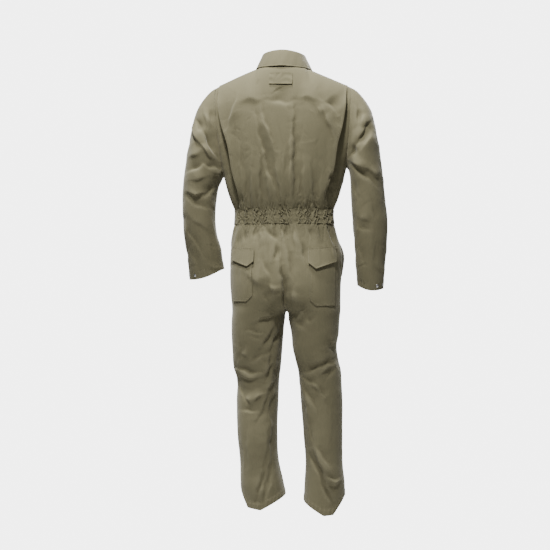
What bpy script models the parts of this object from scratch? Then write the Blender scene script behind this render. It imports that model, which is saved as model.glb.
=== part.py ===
"""A twill boiler suit in the shape it has when worn, hollow, with its neck, cuffs and hems open.

Metres, +Z up. The wearer faces -Y and the wearer's left is +X. The origin lies between the
shoulders at the base of the neck, where the wearer carries the garment. Every cloth piece is a
thin wall round a surface worked out from the section tables below.
"""

import math

import bpy
import numpy as np

CLOTH = 0.0015  # wall of a cut panel
OVERLAY = 0.0012  # wall of a patch, flap or strip sewn on a panel
SEAM = 0.0004  # gap between two panels at a seam
LIFT = 0.0007  # clearance under a piece that lies on a curved panel
SQUARE = 2.35  # how boxy the body's sections are, 2 being an ellipse
WAIST_TOP = -0.472
WAIST_LOW = -0.518
BAND_PROUD = 0.0022  # the waistband stands out this far from the panels
CROTCH = -0.820
CENTRE_DRIFT = -0.0105  # the centre seam has moved this far sideways at the crotch
SHOULDER_BEND = -0.165  # height where the body begins to round over to the shoulder
BEND_POWER = 2.6
NECK_HALF = 0.082
NECK_BACK = 0.080
NECK_FRONT = 0.085
NECK_BACK_Z = 0.018
NECK_FRONT_Z = -0.050
ARMHOLE_GAP = 0.0010  # between sleeve and body, whose walls turn a corner there
ARMHOLE_INSET = 0.019  # how far the armhole seam lies inside the body's side
PLEAT_UNDER = 0.022  # the back overlaps the pleat underlay by this much
STUD_RADIUS = 0.0052
STUD_HEIGHT = 0.0026
STUD_SIDES = 10
SHARP_ANGLE = math.radians(50)
GATHERS = 24  # small gathers across the elastic back waistband
GATHER_DEPTH = 0.0028

PLACKET_TOP = -0.056
PLACKET_LOW = -0.760
PLACKET_HALF = 0.019
PLACKET_WALL = 0.0020
FRONT_STUDS = 7
FRONT_STUD_TOP = -0.088
FRONT_STUD_STEP = 0.103
STUD_SEAT = 0.0005  # clearance under a stud, on cloth that is not quite flat
CUFF_WALL = 0.0021
CUFF_STUD_T = 1.03  # along the sleeve, whose cuff runs from 1 to 1.06
CUFF_STUD_TURNS = (0.42, 1.00)  # round the cuff from its outer side towards the back
POCKET_CLIP = 0.020  # the inner lower corner of a back pocket is cut off by this much
POCKET_MOUTH_BULGE = 0.006
FLAP_TIP = {"left": 0.019, "right": 0.022}
FLAP_SPREAD = 0.006  # a flap is this much wider than its pocket on the inner side
FLAP_LAP = 0.010  # and reaches this far below the pocket's mouth
FLAP_OUTER_LAP = 0.005  # the same at its outer edge
FLAP_RISE = 0.008  # its top edge climbs this much towards the hip
FLAP_TIP_SHARE = 0.27  # where its point lies, from its inner edge
LAYER = CLOTH / 2 + LIFT + OVERLAY / 2  # from a panel's middle to the middle of a patch on it
PLACKET_LIFT = LAYER + 0.0012
STAND_REACH = math.radians(176)
FALL_REACH = math.radians(168)
NECK_EDGE_INSET = 0.0030  # the stand's lower edge lies this much inside the neckline
HEM_LOW_END = 0.47  # a hem's lowest part runs from its corner to here, in shares of the way to its inner seam
CUFF_DROP = 0.012  # the back of each cuff hangs this much lower than its sides
SIDE_POCKET_TOP = -0.562
SIDE_POCKET_LOW = -0.700
NECK_PATCH = ((-0.039, -0.050), (0.039, -0.048), (0.040, -0.009), (-0.039, -0.010))  # corners as (x, z)
NECK_PATCH_LIFT = 0.004  # its lower right corner stands off this far

SIDES = {"left": 1, "right": -1}
ARMPIT = {"left": -0.352, "right": -0.325}
ARMHOLE_TOP = {"left": -0.044, "right": -0.052}


def table(columns, *rows):
    """A small table as a dictionary, one array for each named column."""
    names = columns.split()
    return dict(zip(names, np.array(rows, float).T))


TORSO = table(
    "z half_width back front",
    (-0.560, 0.1810, 0.100, 0.125),
    (-0.518, 0.1730, 0.090, 0.121),
    (-0.472, 0.1720, 0.088, 0.122),
    (-0.440, 0.1845, 0.099, 0.128),
    (-0.400, 0.1975, 0.110, 0.132),
    (-0.355, 0.2090, 0.118, 0.135),
    (-0.300, 0.2230, 0.122, 0.137),
    (-0.240, 0.2370, 0.124, 0.138),
    (-0.180, 0.2460, 0.124, 0.136),
    (-0.120, 0.2520, 0.121, 0.130),
    (-0.050, 0.2560, 0.115, 0.120),
    (0.050, 0.2560, 0.108, 0.110),
)
SHOULDER_LINE = table(
    "x left right",
    (0.000, 0.036, 0.032),
    (0.085, 0.021, 0.016),
    (0.115, 0.010, 0.003),
    (0.180, -0.017, -0.025),
    (0.240, -0.044, -0.052),
    (0.300, -0.080, -0.088),
)
PLEAT_EDGE = table(
    "z left right depth",
    (-0.472, 0.1500, 0.1580, 0.0032),
    (-0.410, 0.1500, 0.1530, 0.0065),
    (-0.345, 0.1660, 0.1730, 0.0100),
    (-0.240, 0.1840, 0.1900, 0.0095),
    (-0.180, 0.2040, 0.2060, 0.0070),
    (-0.090, 0.2200, 0.2180, 0.0040),
    (0.000, 0.2240, 0.2240, 0.0032),
)
SLEEVE = {
    "left": table(
        "t outer_x outer_z inner_x inner_z back front middle",
        (0.00, 0.2390, -0.044, 0.2090, -0.352, 0.060, 0.060, 0.000),
        (0.06, 0.2690, -0.054, 0.2130, -0.353, 0.068, 0.067, 0.000),
        (0.14, 0.2990, -0.100, 0.2170, -0.357, 0.077, 0.074, 0.000),
        (0.24, 0.3190, -0.170, 0.2210, -0.365, 0.081, 0.077, 0.000),
        (0.36, 0.3360, -0.250, 0.2260, -0.375, 0.080, 0.077, 0.000),
        (0.48, 0.3500, -0.340, 0.2320, -0.390, 0.076, 0.074, 0.000),
        (0.58, 0.3570, -0.420, 0.2380, -0.425, 0.070, 0.070, -0.002),
        (0.68, 0.3570, -0.490, 0.2440, -0.490, 0.066, 0.067, -0.006),
        (0.78, 0.3540, -0.555, 0.2400, -0.550, 0.062, 0.063, -0.012),
        (0.88, 0.3460, -0.618, 0.2270, -0.600, 0.057, 0.058, -0.020),
        (1.00, 0.3400, -0.682, 0.2210, -0.645, 0.051, 0.051, -0.028),
        (1.06, 0.3370, -0.712, 0.2165, -0.674, 0.049, 0.049, -0.032),
    ),
    "right": table(
        "t outer_x outer_z inner_x inner_z back front middle",
        (0.00, 0.2390, -0.052, 0.2165, -0.325, 0.060, 0.060, 0.000),
        (0.06, 0.2670, -0.062, 0.2205, -0.325, 0.068, 0.067, 0.000),
        (0.14, 0.2940, -0.105, 0.2240, -0.330, 0.077, 0.074, 0.000),
        (0.24, 0.3130, -0.165, 0.2270, -0.340, 0.081, 0.077, 0.000),
        (0.36, 0.3280, -0.245, 0.2300, -0.356, 0.080, 0.077, 0.000),
        (0.48, 0.3410, -0.335, 0.2320, -0.385, 0.075, 0.074, 0.000),
        (0.58, 0.3500, -0.425, 0.2340, -0.440, 0.070, 0.070, -0.002),
        (0.68, 0.3585, -0.505, 0.2380, -0.505, 0.066, 0.067, -0.006),
        (0.78, 0.3570, -0.580, 0.2440, -0.575, 0.061, 0.062, -0.012),
        (0.88, 0.3510, -0.645, 0.2465, -0.640, 0.056, 0.057, -0.020),
        (1.00, 0.3460, -0.712, 0.2520, -0.702, 0.051, 0.051, -0.028),
        (1.06, 0.3430, -0.743, 0.2545, -0.731, 0.049, 0.049, -0.032),
    ),
}
LEG = {
    "left": table(
        "z outer inner back front middle",
        (-0.518, 0.1730, -0.1730, 0.090, 0.121, 0.000),
        (-0.560, 0.1810, -0.1810, 0.101, 0.124, 0.000),
        (-0.620, 0.1855, -0.1860, 0.116, 0.124, 0.000),
        (-0.680, 0.1870, -0.1870, 0.126, 0.119, 0.000),
        (-0.730, 0.1860, -0.1500, 0.128, 0.114, 0.000),
        (-0.775, 0.1825, -0.0850, 0.122, 0.110, 0.000),
        (-0.800, 0.1800, -0.0400, 0.116, 0.108, 0.000),
        (-0.820, 0.1790, -0.0100, 0.112, 0.106, 0.000),
        (-0.850, 0.1810, -0.0020, 0.107, 0.104, 0.000),
        (-0.900, 0.1815, 0.0035, 0.101, 0.101, 0.000),
        (-0.960, 0.1785, 0.0080, 0.094, 0.098, -0.002),
        (-1.020, 0.1750, 0.0140, 0.088, 0.096, -0.006),
        (-1.050, 0.1650, 0.0180, 0.085, 0.094, -0.008),
        (-1.130, 0.1645, 0.0210, 0.084, 0.087, -0.004),
        (-1.240, 0.1610, 0.0245, 0.082, 0.079, 0.002),
        (-1.350, 0.1510, 0.0180, 0.078, 0.073, 0.004),
        (-1.410, 0.1500, 0.0040, 0.078, 0.072, 0.004),
        (-1.460, 0.1450, -0.0050, 0.078, 0.071, 0.004),
        (-1.520, 0.1390, -0.0080, 0.078, 0.071, 0.004),
    ),
    "right": table(
        "z outer inner back front middle",
        (-0.518, 0.1730, -0.1730, 0.090, 0.121, 0.000),
        (-0.560, 0.1840, -0.1840, 0.101, 0.124, 0.000),
        (-0.620, 0.2010, -0.1850, 0.116, 0.124, 0.000),
        (-0.680, 0.2010, -0.1850, 0.126, 0.119, 0.000),
        (-0.730, 0.1970, -0.1400, 0.128, 0.114, 0.000),
        (-0.775, 0.1960, -0.0680, 0.122, 0.110, 0.000),
        (-0.800, 0.1960, -0.0200, 0.116, 0.108, 0.000),
        (-0.820, 0.1955, 0.0110, 0.112, 0.106, 0.000),
        (-0.850, 0.1925, 0.0180, 0.107, 0.104, 0.000),
        (-0.900, 0.1890, 0.0280, 0.101, 0.101, 0.000),
        (-0.940, 0.1825, 0.0320, 0.096, 0.099, 0.000),
        (-0.990, 0.1880, 0.0420, 0.091, 0.097, -0.003),
        (-1.030, 0.1970, 0.0510, 0.088, 0.096, -0.006),
        (-1.075, 0.1995, 0.0560, 0.086, 0.092, -0.006),
        (-1.130, 0.2025, 0.0600, 0.084, 0.087, -0.004),
        (-1.240, 0.2025, 0.0700, 0.082, 0.079, 0.002),
        (-1.350, 0.2030, 0.0770, 0.079, 0.073, 0.004),
        (-1.410, 0.2100, 0.0735, 0.079, 0.072, 0.004),
        (-1.470, 0.2110, 0.0710, 0.079, 0.071, 0.004),
        (-1.540, 0.2080, 0.0700, 0.079, 0.071, 0.004),
    ),
}
HEM = {
    "left": {"outer": -1.436, "inner": -1.457, "back": -1.501, "front": -1.452, "corner": 0.16},
    "right": {"outer": -1.456, "inner": -1.472, "back": -1.516, "front": -1.470, "corner": 0.24},
}
BACK_POCKET = {  # distances from the middle, measured on the wearer's own side
    "left": {"inner": 0.096, "outer": 0.165, "top": -0.640, "low": -0.786, "flap_top": -0.606},
    "right": {"inner": 0.100, "outer": 0.180, "top": -0.645, "low": -0.800, "flap_top": -0.606},
}
LEG_ROWS = np.array(  # heights of a leg panel's rows, closer at the crotch and at the knee
    [-0.5184, -0.555, -0.595, -0.635, -0.675, -0.715, -0.752, -0.780, -0.802, -0.8150, -0.8200]
    + [-0.840, -0.870, -0.910, -0.950, -0.985, -1.012, -1.038, -1.065, -1.095, -1.135]
    + [-1.190, -1.250, -1.310, -1.370, -1.420]
)
STAND = table(  # "drop" is how much lower a ring lies on the wearer's right
    "half back front z_back z_side z_front drop",
    (0.0745, 0.0705, 0.0785, 0.0380, 0.0370, -0.0260, 0.003),
    (0.0673, 0.0651, 0.0741, 0.0680, 0.0620, -0.0070, 0.004),
)
FALL = table(
    "half back front z_back z_side z_front drop",
    (0.0975, 0.0960, 0.1080, 0.0160, 0.0182, -0.0400, 0.004),
    (0.0897, 0.0895, 0.1010, 0.0380, 0.0345, -0.0280, 0.004),
    (0.0800, 0.0805, 0.0900, 0.0610, 0.0540, -0.0130, 0.004),
    (0.0735, 0.0725, 0.0795, 0.0740, 0.0680, -0.0045, 0.004),
    (0.0690, 0.0670, 0.0758, 0.0705, 0.0650, -0.0048, 0.004),
)

# The largest folds. Each runs from (x0, z0) to (x1, z1) on the side named by "face", bows
# sideways by "bow", is "width" from its middle to its foot and "depth" high, a trough if negative.
FOLDS = table(
    "face x0 z0 x1 z1 bow width depth",
    (1, -0.049, -0.120, -0.046, -0.500, 0.000, 0.015, -0.0080),
    (1, 0.078, -0.140, -0.003, -0.500, 0.006, 0.016, -0.0094),
    (1, 0.066, -0.115, 0.012, -0.300, 0.005, 0.013, 0.0065),
    (1, 0.068, -0.270, 0.070, -0.500, 0.000, 0.013, -0.0072),
    (1, 0.152, -0.070, 0.184, -0.210, -0.004, 0.013, 0.0065),
    (1, -0.138, -0.120, -0.190, -0.260, -0.004, 0.014, 0.0072),
    (1, -0.150, -0.095, -0.200, -0.150, 0.000, 0.018, -0.0072),
    (1, -0.045, -0.110, 0.040, -0.112, 0.000, 0.024, -0.0058),
    (1, 0.110, -0.360, 0.112, -0.500, 0.000, 0.015, -0.0058),
    (1, -0.105, -0.330, -0.102, -0.500, 0.000, 0.015, -0.0065),
    (1, 0.002, -0.515, -0.033, -0.720, 0.004, 0.017, -0.0094),
    (1, 0.030, -0.570, 0.030, -0.660, 0.000, 0.014, -0.0058),
    (1, 0.008, -0.650, -0.009, -0.822, -0.003, 0.015, -0.0130),
    (1, -0.055, -0.570, -0.080, -0.670, 0.000, 0.014, -0.0072),
    (1, 0.018, -0.832, 0.104, -0.872, 0.008, 0.017, -0.0101),
    (1, 0.016, -0.850, 0.050, -1.050, 0.010, 0.015, -0.0094),
    (1, 0.055, -0.985, 0.126, -0.985, 0.008, 0.018, -0.0080),
    (1, 0.080, -1.038, 0.168, -1.030, 0.004, 0.017, -0.0130),
    (1, 0.030, -1.060, 0.150, -1.110, 0.035, 0.017, 0.0087),
    (1, 0.044, -1.070, 0.092, -1.180, 0.004, 0.017, -0.0087),
    (1, 0.050, -1.225, 0.090, -1.460, 0.006, 0.018, -0.0101),
    (1, -0.040, -0.850, -0.075, -0.890, 0.000, 0.022, -0.0101),
    (1, -0.068, -1.025, -0.188, -0.985, 0.004, 0.017, -0.0123),
    (1, -0.060, -1.050, -0.120, -1.170, 0.004, 0.016, -0.0094),
    (1, -0.065, -1.045, -0.150, -1.110, 0.005, 0.015, -0.0080),
    (1, -0.085, -1.290, -0.165, -1.470, 0.006, 0.018, -0.0116),
    (1, -0.075, -1.160, -0.160, -1.370, 0.008, 0.016, -0.0072),
    (1, 0.312, -0.155, 0.232, -0.285, 0.006, 0.016, -0.0116),
    (1, 0.322, -0.190, 0.246, -0.300, 0.010, 0.014, 0.0087),
    (1, 0.345, -0.340, 0.225, -0.325, -0.018, 0.016, -0.0094),
    (1, 0.340, -0.412, 0.265, -0.405, 0.000, 0.014, 0.0080),
    (1, 0.300, -0.440, 0.236, -0.395, 0.000, 0.018, -0.0087),
    (1, 0.345, -0.530, 0.265, -0.640, 0.004, 0.016, -0.0065),
    (1, -0.300, -0.180, -0.232, -0.290, -0.006, 0.016, -0.0116),
    (1, -0.228, -0.310, -0.330, -0.352, 0.006, 0.014, 0.0087),
    (1, -0.240, -0.330, -0.330, -0.392, 0.006, 0.016, -0.0101),
    (-1, 0.060, -0.300, 0.075, -0.500, 0.004, 0.016, -0.0080),
    (-1, -0.070, -0.280, -0.080, -0.500, -0.004, 0.016, -0.0080),
    (-1, 0.190, -0.120, 0.130, -0.300, 0.010, 0.016, -0.0080),
    (-1, -0.190, -0.120, -0.135, -0.290, -0.010, 0.016, -0.0080),
    (-1, 0.015, -0.800, 0.120, -0.720, 0.010, 0.017, -0.0094),
    (-1, -0.030, -0.800, -0.125, -0.730, -0.010, 0.017, -0.0094),
    (-1, 0.030, -1.020, 0.150, -1.040, 0.010, 0.017, -0.0087),
    (-1, -0.065, -1.010, -0.180, -1.035, 0.010, 0.017, -0.0087),
    (-1, 0.100, -1.250, 0.070, -1.440, 0.006, 0.018, -0.0087),
    (-1, -0.130, -1.240, -0.150, -1.440, 0.006, 0.018, -0.0087),
    (-1, 0.330, -0.380, 0.245, -0.420, 0.006, 0.015, -0.0087),
    (-1, -0.330, -0.400, -0.245, -0.430, 0.006, 0.015, -0.0087),
)


def curve(rows, name, at):
    """A column of a table as a smooth curve over the table's first column."""
    knots = next(iter(rows.values()))
    values = rows[name]
    slopes = np.gradient(values, knots)
    at = np.clip(np.asarray(at, float), min(knots[0], knots[-1]), max(knots[0], knots[-1]))
    if knots[0] > knots[-1]:
        knots, values, slopes = knots[::-1], values[::-1], slopes[::-1]
    i = np.clip(np.searchsorted(knots, at) - 1, 0, len(knots) - 2)
    step = knots[i + 1] - knots[i]
    u = (at - knots[i]) / step
    rise = values[i] * (1 - u) ** 2 * (1 + 2 * u) + values[i + 1] * u**2 * (3 - 2 * u)
    lean = slopes[i] * u * (1 - u) ** 2 - slopes[i + 1] * u**2 * (1 - u)
    return rise + step * lean


def ease(value):
    value = np.clip(value, 0, 1)
    return value * value * (3 - 2 * value)


def unit(vectors):
    return vectors / np.maximum(np.linalg.norm(vectors, axis=-1, keepdims=True), 1e-12)


def shoulder_height(x):
    reach = np.abs(x)
    return np.where(x > 0, curve(SHOULDER_LINE, "left", reach), curve(SHOULDER_LINE, "right", reach))


def top_of(x, face):
    """Height of the shoulder seam at x or, inside the neck, of the neckline."""
    inside = np.clip(np.abs(x) / NECK_HALF, 0, 1)
    arc = np.sqrt(1 - inside**2)
    middle = NECK_BACK_Z if face > 0 else NECK_FRONT_Z
    neck_side = shoulder_height(np.sign(x) * NECK_HALF)
    neckline = neck_side + (middle - neck_side) * arc
    return np.where(inside < 1, neckline, shoulder_height(x))


def torso(angle, z, face):
    """Point of the body's surface: angle 0 at the side seam on +X, a quarter turn at the centre."""
    width = curve(TORSO, "half_width", z)
    depth = curve(TORSO, "back" if face > 0 else "front", z)
    cos, sin = np.cos(angle), np.abs(np.sin(angle))
    x = width * np.sign(cos) * np.abs(cos) ** (2 / SQUARE)
    flat = depth * sin ** (2 / SQUARE)
    bend = np.clip((z - SHOULDER_BEND) / (top_of(x, face) - SHOULDER_BEND), 0, 1)
    rounding = (1 - bend**BEND_POWER) ** (1 / BEND_POWER)
    inside = np.clip(np.abs(x) / NECK_HALF, 0, 1)
    neck = (NECK_BACK if face > 0 else NECK_FRONT) * np.sqrt(1 - inside**2)
    y = neck + (np.maximum(flat, neck) - neck) * rounding
    return np.stack([x, face * y, z + 0 * x], axis=-1)


def angle_at(x, z):
    """The body angle at which the section of height z reaches x."""
    part = np.clip(np.abs(x) / curve(TORSO, "half_width", z), 0, 1)
    angle = np.arccos(part ** (SQUARE / 2))
    return np.where(x < 0, math.pi - angle, angle)


def turned(angle, side):
    """The same angle measured on the wearer's own side of the body."""
    return angle if side == "left" else math.pi - angle


def armhole_x(z, side):
    """Distance of the armhole seam from the middle at height z; the side seam's below the armpit."""
    climb = np.clip((z - ARMPIT[side]) / (ARMHOLE_TOP[side] - ARMPIT[side]), 0, 1)
    return curve(TORSO, "half_width", z) - ARMHOLE_INSET * (1 - (1 - climb) ** 2.5)


def fold_height(points, normals):
    """How far the folds lift each point along its normal."""
    height = np.zeros(points.shape[:-1])
    for face, x0, z0, x1, z1, bow, width, depth in zip(*FOLDS.values()):
        length = math.hypot(x1 - x0, z1 - z0)
        along_x, along_z = (x1 - x0) / length, (z1 - z0) / length
        dx, dz = points[..., 0] - x0, points[..., 2] - z0
        t = (dx * along_x + dz * along_z) / length
        across = dz * along_x - dx * along_z - bow * 4 * t * (1 - t)
        overrun = np.maximum(np.maximum(-t, t - 1), 0) * length
        spread = (across**2 + overrun**2 * 1.6) / width**2
        swell = 0.35 + 0.65 * np.sin(math.pi * np.clip(t, 0, 1)) ** 0.7
        facing = ease(face * normals[..., 1] * 1.6)
        height += depth * swell * facing * np.exp(-spread)
    return height


def normals_of(points, closed):
    """Surface normals of a grid of points, rows by columns, the columns running round."""
    if closed:
        across = np.roll(points, -1, 1) - np.roll(points, 1, 1)
    else:
        across = np.gradient(points, axis=1)
    along = np.gradient(points, axis=0)
    return unit(np.cross(across, along))


def creased(points, outward, closed=False, centred=False):
    """Points with the folds raised on them, and their normals facing away from the hollow.

    centred says that the last column is a centre seam, which both its panels fold alike.
    """
    normals = normals_of(points, closed)
    if np.sum(normals * outward) < 0:
        normals = -normals
    if centred:
        level = points[:, -1, 2] > CROTCH + 0.001
        normals[level, -1] = unit(normals[level, -1] * [0, 1, 1])
    return points + normals * fold_height(points, normals)[..., None], normals


def wall(name, points, normals, thickness, closed=False, lift=0.0, caps=()):
    """A closed wall round a grid of points; caps lists (rows, columns, wall directions)."""
    normals = normals.copy()
    for rows, columns, vectors in caps:
        normals[rows, columns] = unit(np.asarray(vectors, float))
    middle = points + normals * lift
    outer = middle + normals * thickness / 2
    inner = middle - normals * thickness / 2
    rows, columns = points.shape[:2]
    verts = np.concatenate([outer.reshape(-1, 3), inner.reshape(-1, 3)])
    skin = rows * columns
    faces = []

    def at(i, j):
        return i * columns + j % columns

    last = columns if closed else columns - 1
    for i in range(rows - 1):
        for j in range(last):
            a, b, c, d = at(i, j), at(i, j + 1), at(i + 1, j + 1), at(i + 1, j)
            faces.append((a, b, c, d))
            faces.append((a + skin, d + skin, c + skin, b + skin))
    for j in range(last):
        a, b = at(0, j), at(0, j + 1)
        faces.append((b, a, a + skin, b + skin))
        a, b = at(rows - 1, j), at(rows - 1, j + 1)
        faces.append((a, b, b + skin, a + skin))
    if not closed:
        for i in range(rows - 1):
            a, b = at(i, 0), at(i + 1, 0)
            faces.append((a, b, b + skin, a + skin))
            a, b = at(i, columns - 1), at(i + 1, columns - 1)
            faces.append((b, a, a + skin, b + skin))
    return solid(name, verts, faces)


def volume_of(verts, faces):
    """Signed volume of a closed mesh, negative when its faces point inward."""
    total = 0.0
    for face in faces:
        for k in range(1, len(face) - 1):
            a, b, c = verts[face[0]], verts[face[k]], verts[face[k + 1]]
            total += float(np.dot(a, np.cross(b, c)))
    return total


def solid(name, verts, faces, material="twill"):
    if volume_of(verts, faces) < 0:
        faces = [tuple(reversed(face)) for face in faces]
    mesh = bpy.data.meshes.new(name)
    mesh.from_pydata([tuple(v) for v in verts], [], faces)
    mesh.shade_smooth()
    mesh.set_sharp_from_angle(angle=SHARP_ANGLE)
    piece = bpy.data.objects.new(name, mesh)
    bpy.context.scene.collection.objects.link(piece)
    mesh.materials.append(FINISHES[material](name))
    return piece


def principled(name, colour, roughness, metallic):
    finish = bpy.data.materials.new(name)
    finish.use_nodes = True
    shader = finish.node_tree.nodes["Principled BSDF"]
    shader.inputs["Base Color"].default_value = (*colour, 1)
    shader.inputs["Roughness"].default_value = roughness
    shader.inputs["Metallic"].default_value = metallic
    finish.diffuse_color = (*colour, 1)
    return finish


def twill(name):
    return principled(name + "_twill", (0.205, 0.185, 0.122), 0.85, 0.0)


def stud_metal(name):
    return principled(name + "_metal", (0.80, 0.79, 0.76), 0.28, 1.0)


FINISHES = {"twill": twill, "stud_metal": stud_metal}


def pulled_in(points, top=0.0, low=0.0, first=0.0, last=0.0):
    """The grid with each edge drawn back along the surface by the length given for it."""
    points = points.copy()
    edges = ((0, 1, low), (-1, -2, top))
    for edge, nearby, amount in edges:
        points[edge] += unit(points[nearby] - points[edge]) * amount
    for edge, nearby, amount in ((0, 1, first), (-1, -2, last)):
        points[:, edge] += unit(points[:, nearby] - points[:, edge]) * amount
    return points


def heights(column_angle, low, count, face):
    """Row heights of each column, from low up to the shoulder or neck edge, closer near the top."""
    climb = 1 - (1 - np.linspace(0, 1, count)) ** 1.6
    top = np.full(len(column_angle(low)), -0.03)
    for _ in range(12):
        top = top_of(torso(column_angle(top), top, face)[:, 0], face)
    return low + (top - low) * climb[:, None]


def shoulder_direction(points):
    """Wall direction along the shoulder seam: square to the slope, the same for front and back."""
    slope = np.gradient(shoulder_height(points[:, 0]), np.abs(points[:, 0]))
    return np.stack([-slope * np.sign(points[:, 0]), 0 * slope, 1 + 0 * slope], axis=-1)


def armhole_loop(side, turn):
    """Seam points of the armhole: turn 0 at the shoulder tip, pi at the armpit, the back positive."""
    sign = SIDES[side]
    low, high = ARMPIT[side], ARMHOLE_TOP[side]
    z = low + (high - low) * (1 + np.cos(turn)) / 2
    x = sign * armhole_x(z, side)
    back = torso(angle_at(x, z), z, 1)[..., 1]
    front = torso(angle_at(x, z), z, -1)[..., 1]
    y = np.where(np.sin(turn) >= 0, back, front) * ease(np.abs(np.sin(turn)) * 3)
    return np.stack([x, y, z], axis=-1)


def armhole_direction(side, points):
    """Wall direction shared by the body and the sleeve along the armhole."""
    sign = SIDES[side]
    middle = (ARMPIT[side] + ARMHOLE_TOP[side]) / 2
    half = (ARMHOLE_TOP[side] - ARMPIT[side]) / 2
    up = (points[..., 2] - middle) / half
    out = points[..., 1] / 0.06
    return unit(np.stack([0.35 * sign + 0 * up, out, up], axis=-1))


def back_panel():
    columns, rows = 31, 14
    s = np.linspace(-1, 1, columns)
    s = np.sign(s) * np.abs(s) ** 0.92

    def x_at(z):
        left = curve(PLEAT_EDGE, "left", z)
        right = curve(PLEAT_EDGE, "right", z)
        return np.where(s > 0, left, right) * s

    z = heights(lambda z: angle_at(x_at(z), z), WAIST_TOP + SEAM, rows, 1)
    x = x_at(z)
    points = torso(angle_at(x, z), z, 1)
    points, normals = creased(points, np.array([0, 1, 0.2]))
    points = pulled_in(points, top=SEAM / 2)
    caps = [(-1, slice(None), shoulder_direction(points[-1]))]
    return wall("back_panel", points, normals, CLOTH, caps=caps)


def side_back(side):
    sign = SIDES[side]
    columns, rows = 7, 14
    s = np.linspace(0, 1, columns)

    def angles(z):
        pleat = curve(PLEAT_EDGE, side, z) - PLEAT_UNDER
        edge = angle_at(armhole_x(z, side), z)
        return turned(edge + (angle_at(pleat, z) - edge) * s, side)

    z = heights(angles, WAIST_TOP + SEAM, rows, 1)
    points = torso(angles(z), z, 1)
    pleat = curve(PLEAT_EDGE, side, points[..., 2])
    near = ease((sign * points[..., 0] - pleat) / (armhole_x(points[..., 2], side) - pleat + 1e-6))
    sunk = curve(PLEAT_EDGE, "depth", points[..., 2]) * (1 - near)
    plain = normals_of(points, False)
    plain = plain * np.sign(np.sum(plain * [0.3 * sign, 1, 0.2]))
    points = points + plain * fold_height(points, plain)[..., None] - plain * sunk[..., None]
    points = pulled_in(points, top=SEAM / 2, first=SEAM / 2)
    seam = armhole_direction(side, points[:, 0])
    below = points[:, 0, 2] < ARMPIT[side]
    seam[below] = (sign, 0, 0)
    caps = [(-1, slice(None), shoulder_direction(points[-1])), (slice(None), 0, seam)]
    return wall(f"side_back_{side}", points, plain, CLOTH, caps=caps)


def front_panel(side):
    sign = SIDES[side]
    columns, rows = 15, 14
    s = 1 - np.linspace(1, 0, columns) ** 1.5

    def angles(z):
        edge = angle_at(armhole_x(z, side), z)
        return turned(edge + (math.pi / 2 - edge) * s, side)

    z = heights(angles, WAIST_TOP + SEAM, rows, -1)
    points = torso(angles(z), z, -1)
    points, normals = creased(points, np.array([0.1 * sign, -1, 0.2]), centred=True)
    points = pulled_in(points, top=SEAM / 2, first=SEAM / 2, last=SEAM / 2)
    seam = armhole_direction(side, points[:, 0])
    seam[points[:, 0, 2] < ARMPIT[side]] = (sign, 0, 0)
    middle = normals[:, -1] * [0, 1, 1]
    caps = [
        (-1, slice(None), shoulder_direction(points[-1])),
        (slice(None), 0, seam),
        (slice(None), -1, middle),
    ]
    return wall(f"front_{side}", points, normals, CLOTH, caps=caps)


def sleeve_ring(side, t, turn):
    """Points round the sleeve at t, 0 at the armhole and 1 where the cuff is joined."""
    rows = SLEEVE[side]
    ends = {name: curve(rows, name, t) for name in list(rows)[1:]}
    outward, upward = np.cos(turn), np.sin(turn)
    half_x = (ends["outer_x"] - ends["inner_x"]) / 2
    half_z = (ends["outer_z"] - ends["inner_z"]) / 2
    x = ends["inner_x"] + half_x * (1 + outward)
    z = ends["inner_z"] + half_z * (1 + outward)
    depth = np.where(upward > 0, ends["back"], ends["front"])
    y = ends["middle"] + depth * np.sign(upward) * np.abs(upward) ** 0.95
    z = z - CUFF_DROP * np.maximum(upward, 0) ** 2 * ease((t - 0.5) * 2)
    tube = np.stack([SIDES[side] * x, y + 0 * x, z], axis=-1)
    blend = ease(t / 0.20)[..., None]
    return armhole_loop(side, turn) * (1 - blend) + tube * blend


def sleeve(side):
    columns, rows = 18, 21
    turn = np.linspace(0, 2 * math.pi, columns, endpoint=False)[None, :]
    t = np.linspace(0, 1, rows)[:, None]
    points = sleeve_ring(side, t, turn + 0 * t)
    centre = points.mean(axis=1, keepdims=True)
    points, normals = creased(points, points - centre, closed=True)
    points = pulled_in(points, low=ARMHOLE_GAP, top=SEAM / 2)
    seam = armhole_direction(side, points[0])
    return wall(f"sleeve_{side}", points, normals, CLOTH, True, caps=[(0, slice(None), seam)])


def cuff_points(side, columns):
    turn = np.linspace(0, 2 * math.pi, columns, endpoint=False)[None, :]
    t = np.linspace(1, 1.06, 3)[:, None]
    points = sleeve_ring(side, t, turn + 0 * t)
    return points, points - points.mean(axis=1, keepdims=True)


def cuff(side):
    points, outward = cuff_points(side, 18)
    points, normals = creased(points, outward, closed=True)
    points = pulled_in(points, low=SEAM / 2)
    return wall(f"cuff_{side}", points, normals, CUFF_WALL, True)


def centre_x(z):
    """Sideways drift of the centre seam, from none at the waist to all of it at the crotch."""
    return CENTRE_DRIFT * ease((WAIST_LOW - z) / (WAIST_LOW - CROTCH))


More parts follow.
